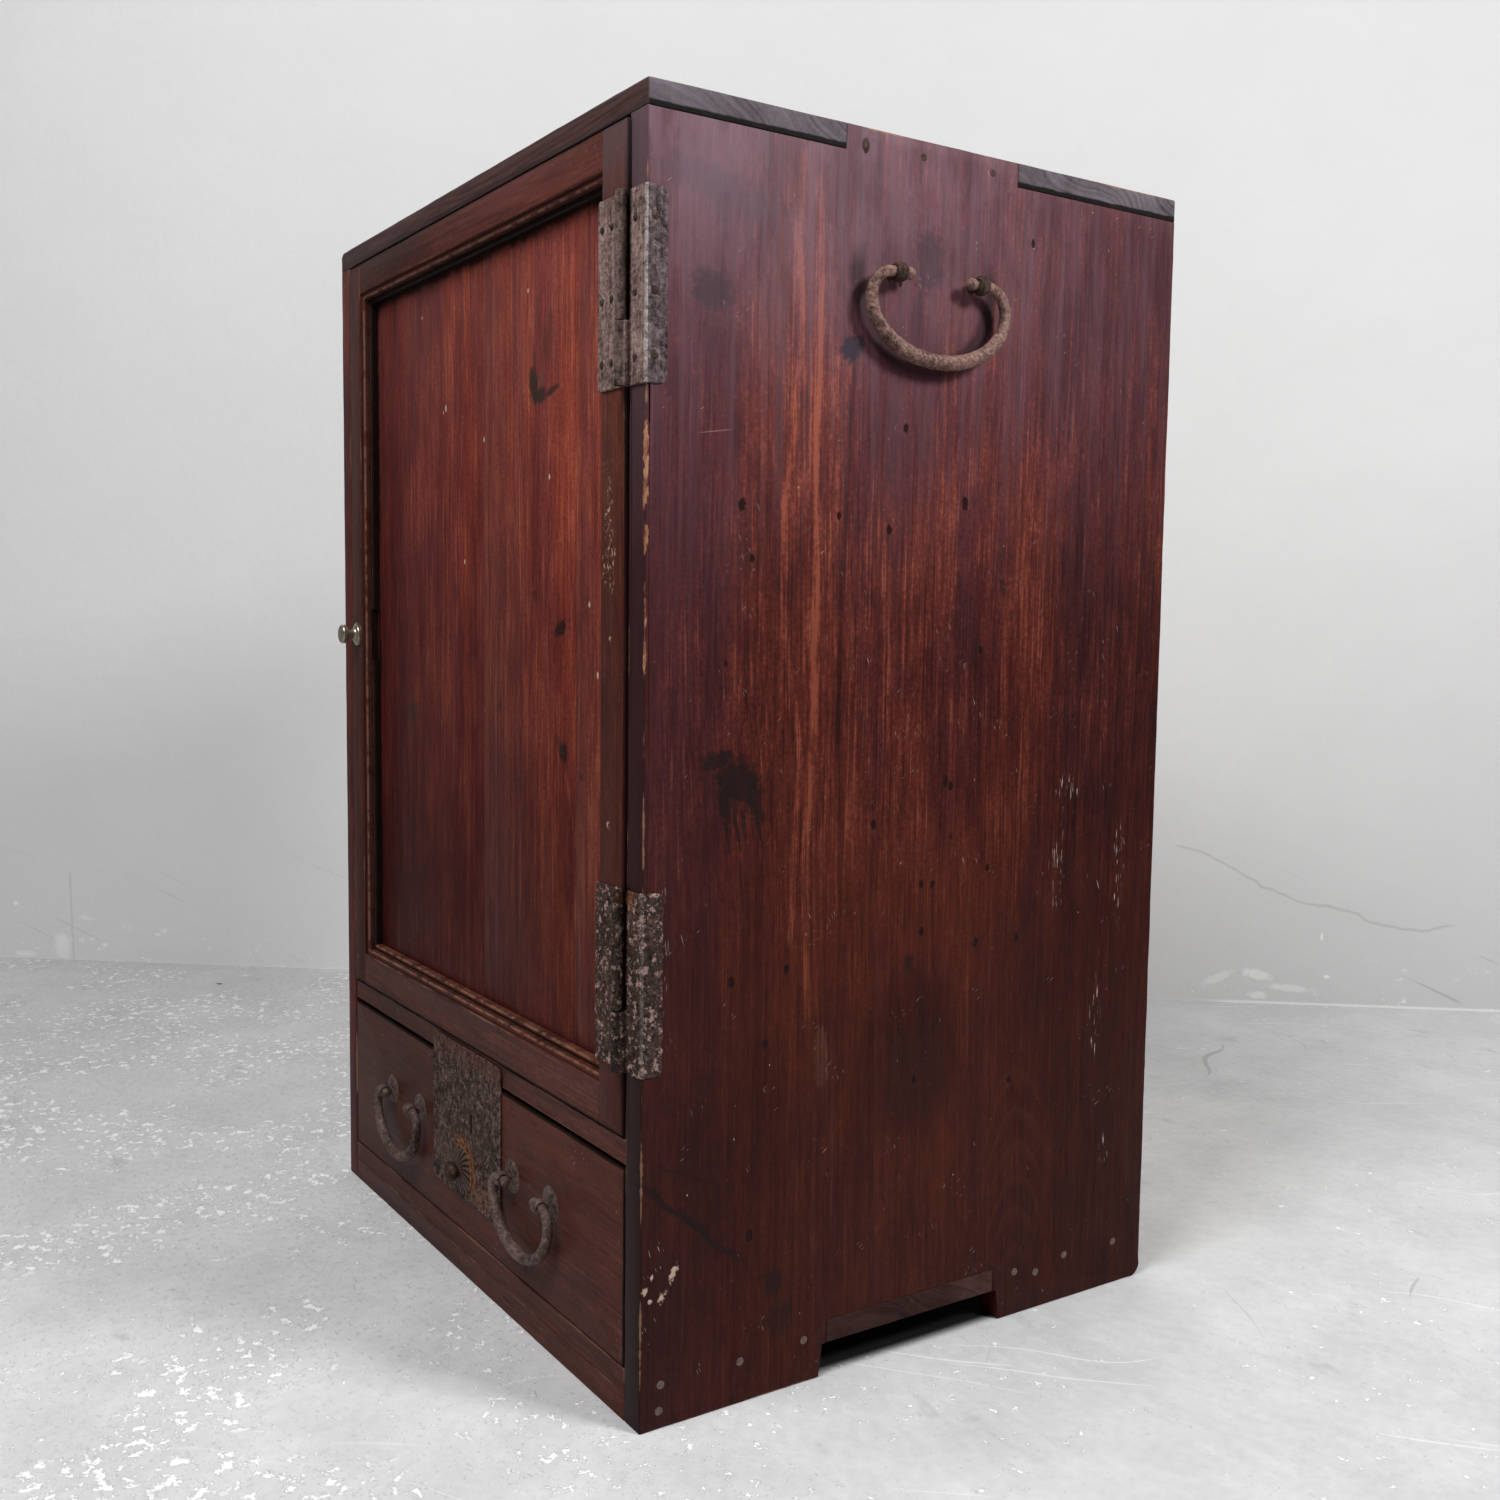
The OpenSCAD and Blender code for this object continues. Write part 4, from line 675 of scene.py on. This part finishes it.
    # Small round nicks, close to where the photo has them.
    nicks = (
        (-132.8, 521.2, 1.5), (30.5, 530.2, 1.6), (-17.1, 571.9, 1.1), (-28.5, 511.9, 1.2), (-65.6, 518.4, 1),
        (-125.7, 491.7, 1), (-23.9, 655.9, 0.9), (81.3, 693.2, 1), (-50.9, 729.3, 1.6), (-36.2, 335.9, 1.3),
        (19.7, 359.2, 1.5), (24, 356, 1.2), (2.2, 296.2, 1.1), (3.1, 266.7, 1.2), (11.1, 295.4, 1.1),
        (47.8, 255, 1.3), (56.3, 302.5, 1), (83.1, 254.5, 1.2), (-136.4, 251.7, 1.4), (-98.4, 254.8, 1.2),
        (-112.5, 212.8, 1.1), (-0.7, 173.7, 1.1), (79.5, 161, 1.1), (-121.9, 100, 1.6), (45.8, 440.8, 1),
    )
    w.stain(nick_mask(w, y, z, nicks), (0.014, 0.004, 0.0042), 0.95, 3)
    w.dents((y, z), 30, 0.06, 0.35, 0.7).flecks((y, z))
    # White scratches by the rear edge, a fine scratch, and chips near the front foot.
    pale = (0.5, 0.42, 0.38)
    scratch = w.map(w.spread((1, 900, 70), 2, 0.6), 0.6, 0.68)
    for at, size in (
        ((175, 295), (6, 45)), ((125, 352), (14, 10)), ((118, 300), (8, 30)), ((171, 98), (5, 12)),
        ((158, 190), (6, 30)), ((-183, 275), (6, 50)),
    ):
        w.stain(w.spot(y, z, at, size, 0, 0.5, 60) * scratch, pale, 0.85, -0.5)
    for at, size, turn in (
        ((-173.2, 89.6), (2.2, 5.2), -25), ((-180.3, 77.3), (2, 3.6), -30), ((-191.5, 83), (2, 2.2), 0),
        ((-188, 76), (1.4, 1.4), 0), ((-187, 90), (1.2, 1.6), 0),
    ):
        w.stain(w.spot(y, z, at, size, turn, 1.3, 420), (0.5, 0.36, 0.28), 0.9, -0.5)
    w.stain(w.spot(y, z, (-150.3, 560.4), (12.5, 0.4), 9, 0.2, 90), (0.25, 0.12, 0.11), 0.7)
    smear = w.spot(y, z, (-72, 198), (6, 22), 4, 0.6, 90) * w.map(w.fibre, 0.4, 0.6, 0.3, 1)
    w.stain(smear, (0.15, 0.062, 0.042), 0.35)
    # Bare wood where the front arris has lost its lacquer.
    w.wear(0.002, 0.55)
    near = y - FRONT + (RIGHT - w.x)
    torn = w.spread((260, 260, 95), 4, 0.7)
    run = w.most(w.between(z, 0.488, 0.574, 0.022), w.between(z, 0.414, 0.6, 0.02) * 0.55,
                 w.between(z, 0.3, 0.345, 0.02) * 0.5)
    gone = w.spread((150, 150, 60), 3, 0.7, move=(3, 1, 2))
    run = run * w.map(gone, 0.36, 0.56, 0.25, 1)
    bare = w.map(torn * run * 0.0054 - near, 0.0001, 0.0009)
    stops = [(0.38, (0.16, 0.052, 0.03)), (0.56, (0.34, 0.155, 0.085)), (0.74, (0.56, 0.36, 0.24))]
    w.stain(bare, w.ramp(torn, stops), 0.95, 0.8, 0.2)

    def bite(p):
        if abs(p.y - FRONT) > 1e-4 or abs(p.x - RIGHT) > 1e-4:
            return 1
        worn = 1 if 0.488 < p.z < 0.58 else 0.5 if 0.41 < p.z < 0.6 else 0.15
        return 1 + 1.9 * worn * max(0, noise.noise(p * 60) + 0.35)

    paint(board("side_board_right", CASE_WOOD, 0.0011, bite=bite, step=0.006), w.done())


def nick_mask(w, u, v, nicks):
    """One mask for many small nicks (u, v in mm, size), taller than wide: the nearest of them counts."""
    tall, unit = 1.7, 0.0016
    here = w.vec(u, v * (1 / tall), 0)
    far = w.least(*(w.gap(here, (a / MM, b / MM / tall, 0)) * (1 / (size * unit)) for a, b, size in nicks))
    return w.fall(far + w.rag(420) * 1.2, 0.65, 1.1)


def door_panels():
    for i, name in enumerate(("door_panel_left", "door_panel_middle", "door_panel_right")):
        w = wood(name, "z", PANEL_WOOD, 40 + i, sway=0.5, contrast=0.92, pace=2.2)
        x, z = w.x, w.z
        w.lift(w.fall(x, -0.2, 0), -0.16).warm(w.fall(x, -0.2, 0), -0.3)
        w.lift(w.map(x, 0.003, 0.008), 0.08).warm(w.map(x, 0.003, 0.008), 0.15)
        w.lift(w.spot(x, z, (160, 340), (22, 120), 0, 0.4, 18), 0.12)
        broken = w.map(w.fibre, 0.4, 0.58, 0.25, 1)
        wander = (w.spread((60, 1, 14), 2) - 0.5) * 0.004
        for points, width, amount in (
            ([(128.1, 365), (141.6, 325.9), (141.8, 270)], 3, 0.25),
            ([(190, 440), (191.5, 405), (192.5, 330)], 3.5, 0.25), ([(-64, 670), (-66, 590)], 5, -0.22),
            ([(42, 680), (44, 570)], 3, -0.15),
        ):
            w.lift(w.trail(x, z, points, width, wander) * broken, amount)
        w.tint()
        # Painted shading: the panel darker towards the bottom and lighter towards the top and the right.
        right = w.map(x, 0.02, 0.19, 1, 1.22)
        w.colour = w.scaled(w.colour, w.map(z, 0.19, 0.66, 0.47, 1.26) * right)
        # Painted shade beside the left and bottom mouldings.
        moulding_shade = w.most(w.fall(x, -0.196, -0.186), w.fall(z, 0.196, 0.208))
        w.stain(moulding_shade, (0.06, 0.0075, 0.0065), 0.5)
        # Painted sheen: paler streaks towards the top.
        w.stain(w.map(z, 0.54, 0.66) * w.map(w.streak, 0.36, 0.58, 1, 0.2), (0.15, 0.066, 0.06), 0.3)
        # Painted shadow in the corner under the top moulding and along the left moulding.
        torn = w.noise(90, 3, 0.6) * 0.01
        corner_shadow = w.most(w.map(z + torn, 0.6945, 0.6985), w.fall(x - torn, -0.1965, -0.194))
        w.stain(corner_shadow, (0.01, 0.0045, 0.004), 0.85)
        dark, soot = (0.014, 0.0085, 0.0075), (0.03, 0.02, 0.016)
        for at, size, turn, shade, share in (
            ((83.5, 601), (8, 13), 6, soot, 0.92), ((92, 593.5), (13, 6.2), 5, soot, 0.92),
            ((108.5, 594.5), (11, 2.8), 16, soot, 0.85), ((95, 603), (6, 6), 0, (0.085, 0.046, 0.04), 0.5),
            ((103, 628), (10, 19), -12, soot, 0.3), ((85, 615), (2.8, 10), 5, soot, 0.5),
            ((121.8, 451.7), (8.5, 6.2), 15, dark, 0.9), ((116, 449), (4, 4), 0, dark, 0.7),
            ((85.9, 470.9), (4, 4.2), 0, dark, 0.45), ((124.6, 375.4), (7.5, 6.8), -30, dark, 0.85),
            ((120, 380), (9, 5), -40, soot, 0.5), ((149.8, 363), (4.2, 1.6), -45, dark, 0.7),
            ((-124.2, 387.6), (16, 8.5), 8, soot, 0.55), ((-128, 374), (11, 8), -10, soot, 0.35),
            ((32.8, 399.4), (2, 2.6), 0, dark, 0.7), ((-122.8, 258.8), (2.6, 3), 0, dark, 0.6),
            ((-180, 560), (9, 30), 0, soot, 0.35),
        ):
            w.stain(w.spot(x, z, at, size, turn, 0.45, 150), shade, share, 0.2)
        chips = (
            (-57.5, 601.5, 0.9), (-62, 599, 0.5), (7.8, 574.3, 0.8), (75.5, 659.4, 0.6), (159.1, 465.3, 0.8),
            (169.8, 424.5, 0.8), (105.9, 543.3, 0.7), (-101, 670, 0.5), (170, 603, 0.7), (-25, 495, 0.7),
        )
        w.stain(nick_mask(w, x, z, chips), (0.56, 0.44, 0.36), 0.8, -0.5)
        w.specks((x, z), 55, 0.032, 0.13, (0.42, 0.26, 0.2), 0.35)
        w.specks((x + 1.7, z), 80, 0.03, 0.1, (0.48, 0.34, 0.27), 0.6)
        paint(board(name, PANEL_WOOD, 0.0004, seam=0.0003, uneven=0.2, step=0.03), w.wear(0.0006, 0.3).done(0.0003))


def rust(name, stops, coarse=420, warm=0.5, warm_at=None, seed=0, metal=0.2, runs=0, crust=0, depth=0.0006, last=None,
         pale=(0.33, 0.225, 0.195)):
    """Forged iron under dark scale and grainy rust. crust adds pale granules, and runs adds streaks in z."""
    s = Shade(name)
    at = s.stretch(s.here, (1, 1, 1), (seed, seed * 1.7, -seed))
    broad = s.noise(42, 4, 0.6, at)
    grain = s.noise(coarse, 5, 0.72, at)
    fine = s.noise(coarse * 3.2, 2, 0.6, at)
    pits, _ = s.cells(at, coarse * 1.1)
    tone = broad * 0.36 + grain * 0.64
    if runs:
        drip = s.spread((420, 420, 40), 3, 0.6, at)
        tone = tone + (drip - 0.5) * runs
    s.colour = s.ramp(s.map(tone, 0.34, 0.68, kind="LINEAR"), stops)
    if crust:
        lumps = s.map(s.noise(coarse * 0.85, 3, 0.75, at), 0.53, 0.6)
        s.stain(lumps * crust, pale)
    patch = s.map(s.noise(60, 3, 0.65, at), 0.52, 0.76) * s.map(grain, 0.42, 0.6)
    s.stain(patch * warm, (0.2, 0.072, 0.024))
    for place, size, turn, share in warm_at or ():
        glow = s.spot(s.x, s.z, place, size, turn, 0.6, 150) * s.map(grain, 0.36, 0.58, 0.35, 1)
        s.stain(glow * share, (0.26, 0.085, 0.022))
    if last:
        last(s, grain)
    height = grain + fine * 0.3 - s.map(pits, 0.05, 0.32, 0.35, 0)
    rough = s.map(grain, 0.3, 0.7, 0.85, 0.55)
    if crust:
        height = height + lumps * 0.8
    return s.finish(s.colour, rough, height, depth, metal=metal, gloss=0.25)


DARK_IRON = [(0, (0.012, 0.007, 0.006)), (0.35, (0.038, 0.02, 0.0155)), (0.65, (0.08, 0.044, 0.034)),
             (1, (0.165, 0.105, 0.086))]
UPPER_IRON = [(0, (0.024, 0.015, 0.014)), (0.26, (0.12, 0.073, 0.065)), (0.6, (0.285, 0.186, 0.167)),
              (1, (0.47, 0.35, 0.315))]


def roughen(name, voxel, amount, size):
    """Remeshes an iron piece finely and pits its surface."""
    obj = nodes[name]
    weld = obj.modifiers.new("weld", "WELD")
    weld.merge_threshold = 1e-6
    mesh = obj.modifiers.new("fine", "REMESH")
    mesh.mode = "VOXEL"
    mesh.voxel_size = voxel
    mesh.use_smooth_shade = True
    for i, (part, scale) in enumerate(((amount, size), (amount * 0.6, size * 0.35))):
        cloud = bpy.data.textures.new(f"{name}_pits_{i}", "CLOUDS")
        cloud.noise_scale = scale
        cloud.noise_depth = 2
        move = obj.modifiers.new(f"pits_{i}", "DISPLACE")
        move.texture = cloud
        move.texture_coords = "LOCAL"
        move.strength = part
        move.mid_level = 0.55


HINGE_X, HINGE_Y = 0.223, -0.1992
HINGE_Z = (0.2564, 0.6339)
NAIL_RISE = (-0.0371, -0.0031, 0.0355)


def hinge_zones(side, bright):
    """Darkens the barrels and the part on the side board, paints shadow in the gap beside each barrel, and brightens
    the bend and the nails' rims.
    """

    def last(s, grain):
        barrel = s.fall(s.far(s.x - HINGE_X, s.y - HINGE_Y), 0.0038, 0.0042)
        s.stain(barrel * 0.8, s.tinted(s.colour, (0.46, 0.48, 0.46)))
        # Painted shadow in the gap beside the barrel.
        slot = s.between(s.x, HINGE_X + 0.0036, HINGE_X + 0.0056, 0.0005) * s.map(s.y, FRONT - 0.004, FRONT - 0.002)
        s.stain(slot * 0.8, (0.016, 0.0055, 0.0045))
        wrapped = s.map(s.x, RIGHT, RIGHT + 0.0008)
        s.stain(wrapped, s.tinted(s.colour, side))
        bend = s.fall(s.far(s.x - (RIGHT + 0.0006), s.y - (FRONT - 0.0006)), 0.0008, 0.0013)
        s.stain(bend * s.map(grain, 0.38, 0.56, 0.3, 1) * bright, (0.42, 0.37, 0.34))
        for u, places in ((s.x, (HINGE_X - 0.02548, HINGE_X - 0.01456, HINGE_X + 0.01)), (s.y, (FRONT + 0.0045,))):
            here = s.vec(u, s.z, 0)
            nails = [(place, z + rise, 0) for place in places for z in HINGE_Z for rise in NAIL_RISE]
            near = s.least(*(s.gap(here, nail) for nail in nails))
            rim = s.map(near, 0.0023, 0.0032) * s.fall(near, 0.0034, 0.0044)
            s.stain(rim * s.map(grain, 0.42, 0.58) * (bright * 0.5), (0.36, 0.29, 0.26))

    return last


BOSS_X, BOSS_Z, BOSS_R = -0.006, 0.0758, 0.018


def from_boss(s):
    dx, dz = s.x - BOSS_X, s.z - BOSS_Z
    return dx, dz, s.far(dx, dz)


def plate_zones(s, grain):
    """Coarse rust over the lock plate's top and sides, and orange rust in an arc beside the boss."""
    lump = s.spread((330, 330, 170), 4, 0.75)
    rim = s.most(s.map(s.z, 0.118, 0.15), s.fall(s.z, 0.062, 0.1), s.map(s.math("ABSOLUTE", s.x), 0.03, 0.055))
    rim = 0.35 + rim * 0.65
    s.stain(s.map(lump, 0.53, 0.6) * (rim * 0.8), (0.185, 0.108, 0.086))
    s.stain(s.fall(lump, 0.42, 0.48) * (rim * 0.9), (0.012, 0.007, 0.006))
    crest = s.map(s.z, 0.144, 0.16) * s.map(grain, 0.4, 0.56, 0.15, 1)
    s.stain(crest * 0.65, (0.125, 0.042, 0.032))
    dx, dz, far = from_boss(s)
    arc = s.between(far + s.rag(150) * 0.014, BOSS_R - 0.001, BOSS_R + 0.007, 0.002)
    arc = arc * s.map(dx + dz * 0.9, -0.004, 0.012)
    tail = s.spot(s.x, s.z, (26, 66), (16, 10), -20, 0.8, 150) * 0.6
    glow = s.most(arc, tail) * s.map(grain, 0.4, 0.58)
    s.stain(glow * 0.8, (0.29, 0.1, 0.032))


def boss_zones(s, grain):
    """Radial ridges on the boss's dome, with dirt between them, and a dark bulb in front."""
    dx, dz, far = from_boss(s)
    turn = s.math("ARCTAN2", dz, dx) + far * 28
    ridge = s.math("SINE", turn * 20)
    dome = s.map(s.y, FRONT - 0.0056, FRONT - 0.0048)
    s.stain(s.map(ridge, -0.2, 0.7) * (dome * 0.75), (0.15, 0.082, 0.066))
    s.stain(s.fall(ridge, -0.8, -0.1) * (dome * 0.85), (0.012, 0.0065, 0.006))
    rim = s.map(far, BOSS_R - 0.0025, BOSS_R - 0.0008) * s.map(dx + dz, -0.004, 0.01)
    s.stain(rim * s.map(grain, 0.36, 0.54) * 0.85, (0.33, 0.125, 0.045))


def iron_parts():
    upper = rust("upper_leaf_iron", UPPER_IRON, 330, 0.3, seed=1, runs=0.3, last=hinge_zones((0.4, 0.42, 0.5), 0.8))
    lower = rust("lower_leaf_iron", DARK_IRON, 270, 0.25, [((230, 306), (6, 12), 0, 0.6)], seed=1.4, crust=0.9,
                 depth=0.0011, pale=(0.47, 0.305, 0.26), last=hinge_zones((0.75, 0.75, 0.78), 0.25))
    plate = rust("plate_iron", DARK_IRON, 320, 0.3, seed=2, crust=0.6, depth=0.0011, last=plate_zones)
    boss = rust("boss_iron", DARK_IRON, 260, 0.25, seed=2.4, metal=0.35, last=boss_zones)
    ring = rust("bail_iron", [(p, tuple(c * 0.52 for c in rgb)) for p, rgb in UPPER_IRON], 380, 0.3, seed=3,
                metal=0.3)
    grip = rust("grip_iron", [(p, tuple(c * d for c, d in zip(rgb, (0.84, 0.75, 0.7)))) for p, rgb in UPPER_IRON],
                420, 0.4, seed=3.3, metal=0.3)
    post = rust("post_iron", DARK_IRON, 420, 0.25, seed=3.6, metal=0.3)
    nail = rust("nail_iron", DARK_IRON, 600, 0.2, seed=4)
    # Each piece's iron, voxel, and the depth and width of its pits, in mm.
    leaf, crusty, bail, small = (0.55, 0.6, 4), (0.55, 1.7, 2.4), (0.7, 0.7, 5), (0.5, 0.4, 4)
    for name, mat, pits in (
        ("hinge_upper_carcass_leaf", upper, leaf), ("hinge_upper_door_leaf", upper, leaf),
        ("hinge_lower_carcass_leaf", lower, crusty), ("hinge_lower_door_leaf", lower, crusty),
        ("lock_plate", plate, (0.6, 1.4, 2.6)), ("drawer_bail_left", ring, (0.6, 0.7, 5)),
        ("drawer_bail_right", ring, (0.6, 0.7, 5)), ("carrying_bail_left", grip, bail),
        ("carrying_bail_right", grip, bail), ("carrying_posts", post, small), ("drawer_bail_posts", ring, small),
        ("drawer_bail_roses", ring, small), ("lock_boss", boss, small),
    ):
        paint(nodes[name], mat)
        roughen(name, *(n / MM for n in pits))
    for name in ("top_nails", "back_nails", "hinge_pins", "hinge_carcass_nails", "hinge_door_nails",
                 "lock_plate_nails", "lock_case", "lock_bolt", "latch_tongue"):
        paint(nodes[name], nail)


def brass_parts():
    s = Shade("old_brass")
    broad = s.noise(120, 3, 0.6)
    fine = s.noise(900, 3, 0.6)
    colour = s.ramp(s.map(broad * 0.6 + fine * 0.4, 0.3, 0.7, kind="LINEAR"),
                    [(0, (0.11, 0.09, 0.065)), (0.5, (0.33, 0.29, 0.22)), (1, (0.58, 0.53, 0.43))])
    mat = s.finish(colour, s.map(fine, 0.3, 0.7, 0.26, 0.48), fine, 0.0002, metal=0.9)
    for name in ("knob", "knob_rose"):
        paint(nodes[name], mat)


def pegs():
    s = Shade("peg_wood")
    grain = s.noise(600, 4, 0.7)
    colour = s.ramp(grain, [(0.25, (0.035, 0.018, 0.014)), (0.5, (0.1, 0.06, 0.05)), (0.75, (0.22, 0.15, 0.125))])
    mat = s.finish(colour, 0.7, grain, 0.0004)
    for name in ("side_pegs", "drawer_pegs"):
        paint(nodes[name], mat)


def stage():
    s = Shade("floor_paint")
    broad = s.noise(1.7, 3, 0.55)
    mottle = s.noise(14, 4, 0.65)
    fine = s.noise(110, 4, 0.65)
    tone = broad * 0.45 + mottle * 0.3 + fine * 0.25
    s.colour = s.ramp(tone, [(0.36, (0.49, 0.491, 0.494)), (0.64, (0.69, 0.691, 0.692))])
    leftward = s.fall(s.x * 0.55 + s.y * 0.83, -0.35, 0.25)
    zones = s.map(s.noise(5.5, 4, 0.65), 0.45, 0.52)
    chips = s.spread((95, 95, 60), 5, 0.75)
    chips = s.map(chips - s.blend(leftward, 0.615, 0.54), 0, 0.012)
    thin = s.spread((150, 190, 90), 5, 0.75)
    thin = s.map(thin - s.blend(leftward, 0.67, 0.6), 0, 0.01)
    white = s.most(chips * zones, thin)
    turned = s.vec(s.x * 0.8 - s.y * 0.6, s.x * 0.6 + s.y * 0.8, 0)
    wavy = (s.noise(3, 2) - 0.5) * 0.25
    for scale, seed in (((150, 2.6, 1), 0), ((3, 120, 1), 4), ((110, 4, 1), 8)):
        ins = {0: turned, 1: s.vec(wavy, wavy, seed)}
        bent = s.get(0, "VectorMath", ins, operation="ADD")
        line = s.spread(scale, 1, 0.5, bent)
        scratch = s.map(line, 0.735, 0.765) * s.map(leftward, 0, 1, 1, 0.4)
        s.stain(scratch * 0.5, (0.3, 0.3, 0.3) if seed == 4 else (0.84, 0.84, 0.84))
    s.stain(white * 0.9, (0.95, 0.95, 0.95))
    smudge = s.map(s.spread((9, 16, 9), 4, 0.7), 0.6, 0.75)
    s.stain(smudge * 0.35, (0.26, 0.255, 0.25))
    # Painted light: the floor slightly lighter towards the left.
    s.colour = s.scaled(s.colour, s.map(leftward, 0, 1, 1.03, 1.05, "LINEAR"))
    blots = (((124.4, -45.5), (4, 3)), ((-952.8, -118.8), (6, 4)))
    blots = [s.spot(s.x, s.y, at, size, 0, 0.8, 200) for at, size in blots]
    s.stain(s.most(*blots), (0.05, 0.05, 0.05))
    # Painted shadow on the floor under the chest.
    under_chest_shadow = s.between(s.x, -RIGHT + 0.006, RIGHT - 0.006, 0.005) * s.between(s.y, FRONT + 0.012, BACK - 0.012, 0.008)
    s.stain(under_chest_shadow, (0.012, 0.012, 0.012))
    floor_mat = s.finish(s.colour, s.map(broad, 0.3, 0.7, 0.5, 0.7), fine * 0.5 + white, 0.0006, gloss=0.3)
    bpy.ops.mesh.primitive_plane_add(size=12, location=(0, 0, 0))
    floor = bpy.context.object
    floor.name = "floor"
    paint(floor, floor_mat)

    # The wall is seen from its front only, so that it doesn't hide the chest in views from behind.
    s = Shade("wall_paint")
    left, right = Vector((-1.249, -0.327, 0)), Vector((-0.041, 1.147, 0))
    run = (right - left).normalized()
    broad = s.noise(1.1, 3, 0.55)
    fine = s.noise(60, 3, 0.6)
    along = s.x * run.x + s.y * run.y
    start = left.dot(run)
    # Painted shading: low on the wall, lighter on the left and darker on the right.
    low_tone = s.map(along, start, start + 1.6, 0.8, 0.6, "LINEAR")
    high_tone = s.map(along, start, start + 1.6, 0.73, 0.685, "LINEAR")
    tone = s.blend(s.map(s.z, 0, 0.75), low_tone, high_tone) + (broad - 0.5) * 0.05
    mottle = s.spread((7, 7, 11), 4, 0.65)
    tone = tone + (mottle - 0.5) * 0.05
    # Old scratches and flaking paint near the floor.
    base = s.fall(s.z, 0.02, 0.22)
    curve = s.spread((2.2, 75, 1), 2, 0.5, s.vec(along - s.z * 1.6, s.z + along * 0.45, 0))
    lines = s.map(curve, 0.665, 0.685) * s.fall(curve, 0.7, 0.72) * base
    shaky = (s.noise(45, 3) - 0.5) * 0.008
    crack = s.trail(s.z, along, [(192, 476), (186, 500), (172, 530), (146, 575), (126, 623), (123, 646), (118, 679),
                                 (104, 708), (97, 741), (97, 773), (104, 801)], 2.6, shaky)
    split = s.trail(along, s.z, [(-943.8, 116.2), (-943.2, 73), (-941.2, 0)], 2.2)
    lines = s.most(lines * 0.7, crack * 0.55, split * 0.6)
    tone = tone - lines * 0.17
    # Paler filler in a few places, and along the joint with the floor.
    filler = s.between(s.z, -0.01, 0.0028, 0.0012)
    filler = filler * s.map(along, 0.5, 0.56, 0.15, 1)
    for at, size, turn, share in (
        ((529, 30), (20, 6), 25, 0.5), ((573, 36), (22, 7), -12, 0.7), ((615, 20), (30, 5), -5, 0.6),
        ((578, 10), (14, 5), 0, 0.7), ((650.2, 83.6), (1.8, 6), 0, 1), ((657.5, 35.3), (4, 2.5), 0, 1),
        ((-956, 18), (14, 20), 0, 0.6), ((-1020.7, 73.2), (4, 3.5), 0, 1), ((-1009, 6), (18, 5), 0, 0.5),
    ):
        filler = s.most(filler, s.spot(along, s.z, at, size, turn, 0.5, 120) * share)
    tone = tone + filler * 0.2
    flake = s.map(s.spread((26, 26, 60), 5, 0.75), 0.62, 0.65) * s.fall(s.z, 0, 0.09)
    tone = tone + flake * 0.2
    mat = s.finish(s.grey(tone), 0.8, fine, 0.0006, gloss=0.2)
    clear = s.get(0, "BsdfTransparent")
    behind = s.get("Backfacing", "NewGeometry")
    both = s.get(0, "MixShader", {0: behind, 1: Value(s, s.bsdf.outputs[0]), 2: clear})
    s.put(s.out.inputs["Surface"], both)
    a, b = left - run * 0.25, right + run * 4
    mesh = bpy.data.meshes.new("wall")
    mesh.from_pydata([a, b, b + Vector((0, 0, 4)), a + Vector((0, 0, 4))], [], [(0, 1, 2, 3)])
    wall = new_object("wall", mesh)
    paint(wall, mat)


def lights():
    """Two soft lamps over a dim white world: place, size in metres and watts."""
    for name, at, aim, size, watts in (
        ("key", (1.5, 0.62, 1.45), (0.2, 0, 0.5), 0.42, 27), ("front", (0.45, -1.15, 2.1), (0, -0.2, 0.5), 0.9, 39),
    ):
        data = bpy.data.lights.new(name, "AREA")
        data.shape = "SQUARE"
        data.size = size
        data.energy = watts
        obj = new_object(name, data)
        obj.location = at
        obj.rotation_euler = (Vector(aim) - Vector(at)).to_track_quat("-Z", "Y").to_euler()
    world = bpy.data.worlds.new("world")
    bpy.context.scene.world = world
    world.use_nodes = True
    inputs = world.node_tree.nodes["Background"].inputs
    inputs["Color"].default_value = (1, 1, 1, 1)
    inputs["Strength"].default_value = 0.09


def camera():
    """The photo's camera, solved from the chest's own edges."""
    place = (0.96, -0.6001, 0.4575)
    look = Vector((-0.83086, 0.54999, -0.08476))
    across = Vector((0.55106, 0.83437, 0.01239))
    up = Vector((-0.07754, 0.03642, 0.99632))
    sensor_mm, photo_px, focal_px = 36, 1500, 1525.65
    data = bpy.data.cameras.new("camera")
    data.sensor_width = sensor_mm
    data.lens = sensor_mm * focal_px / photo_px
    data.clip_start = 0.01
    obj = new_object("camera", data)
    turn = Matrix((across, up, -look)).transposed().to_4x4()
    obj.matrix_world = Matrix.Translation(place) @ turn
    bpy.context.scene.camera = obj


case_boards()
side_face()
door_panels()
mouldings()
inside_boards()
iron_parts()
brass_parts()
pegs()
stage()
lights()
camera()
bpy.context.scene.view_settings.view_transform = "Standard"
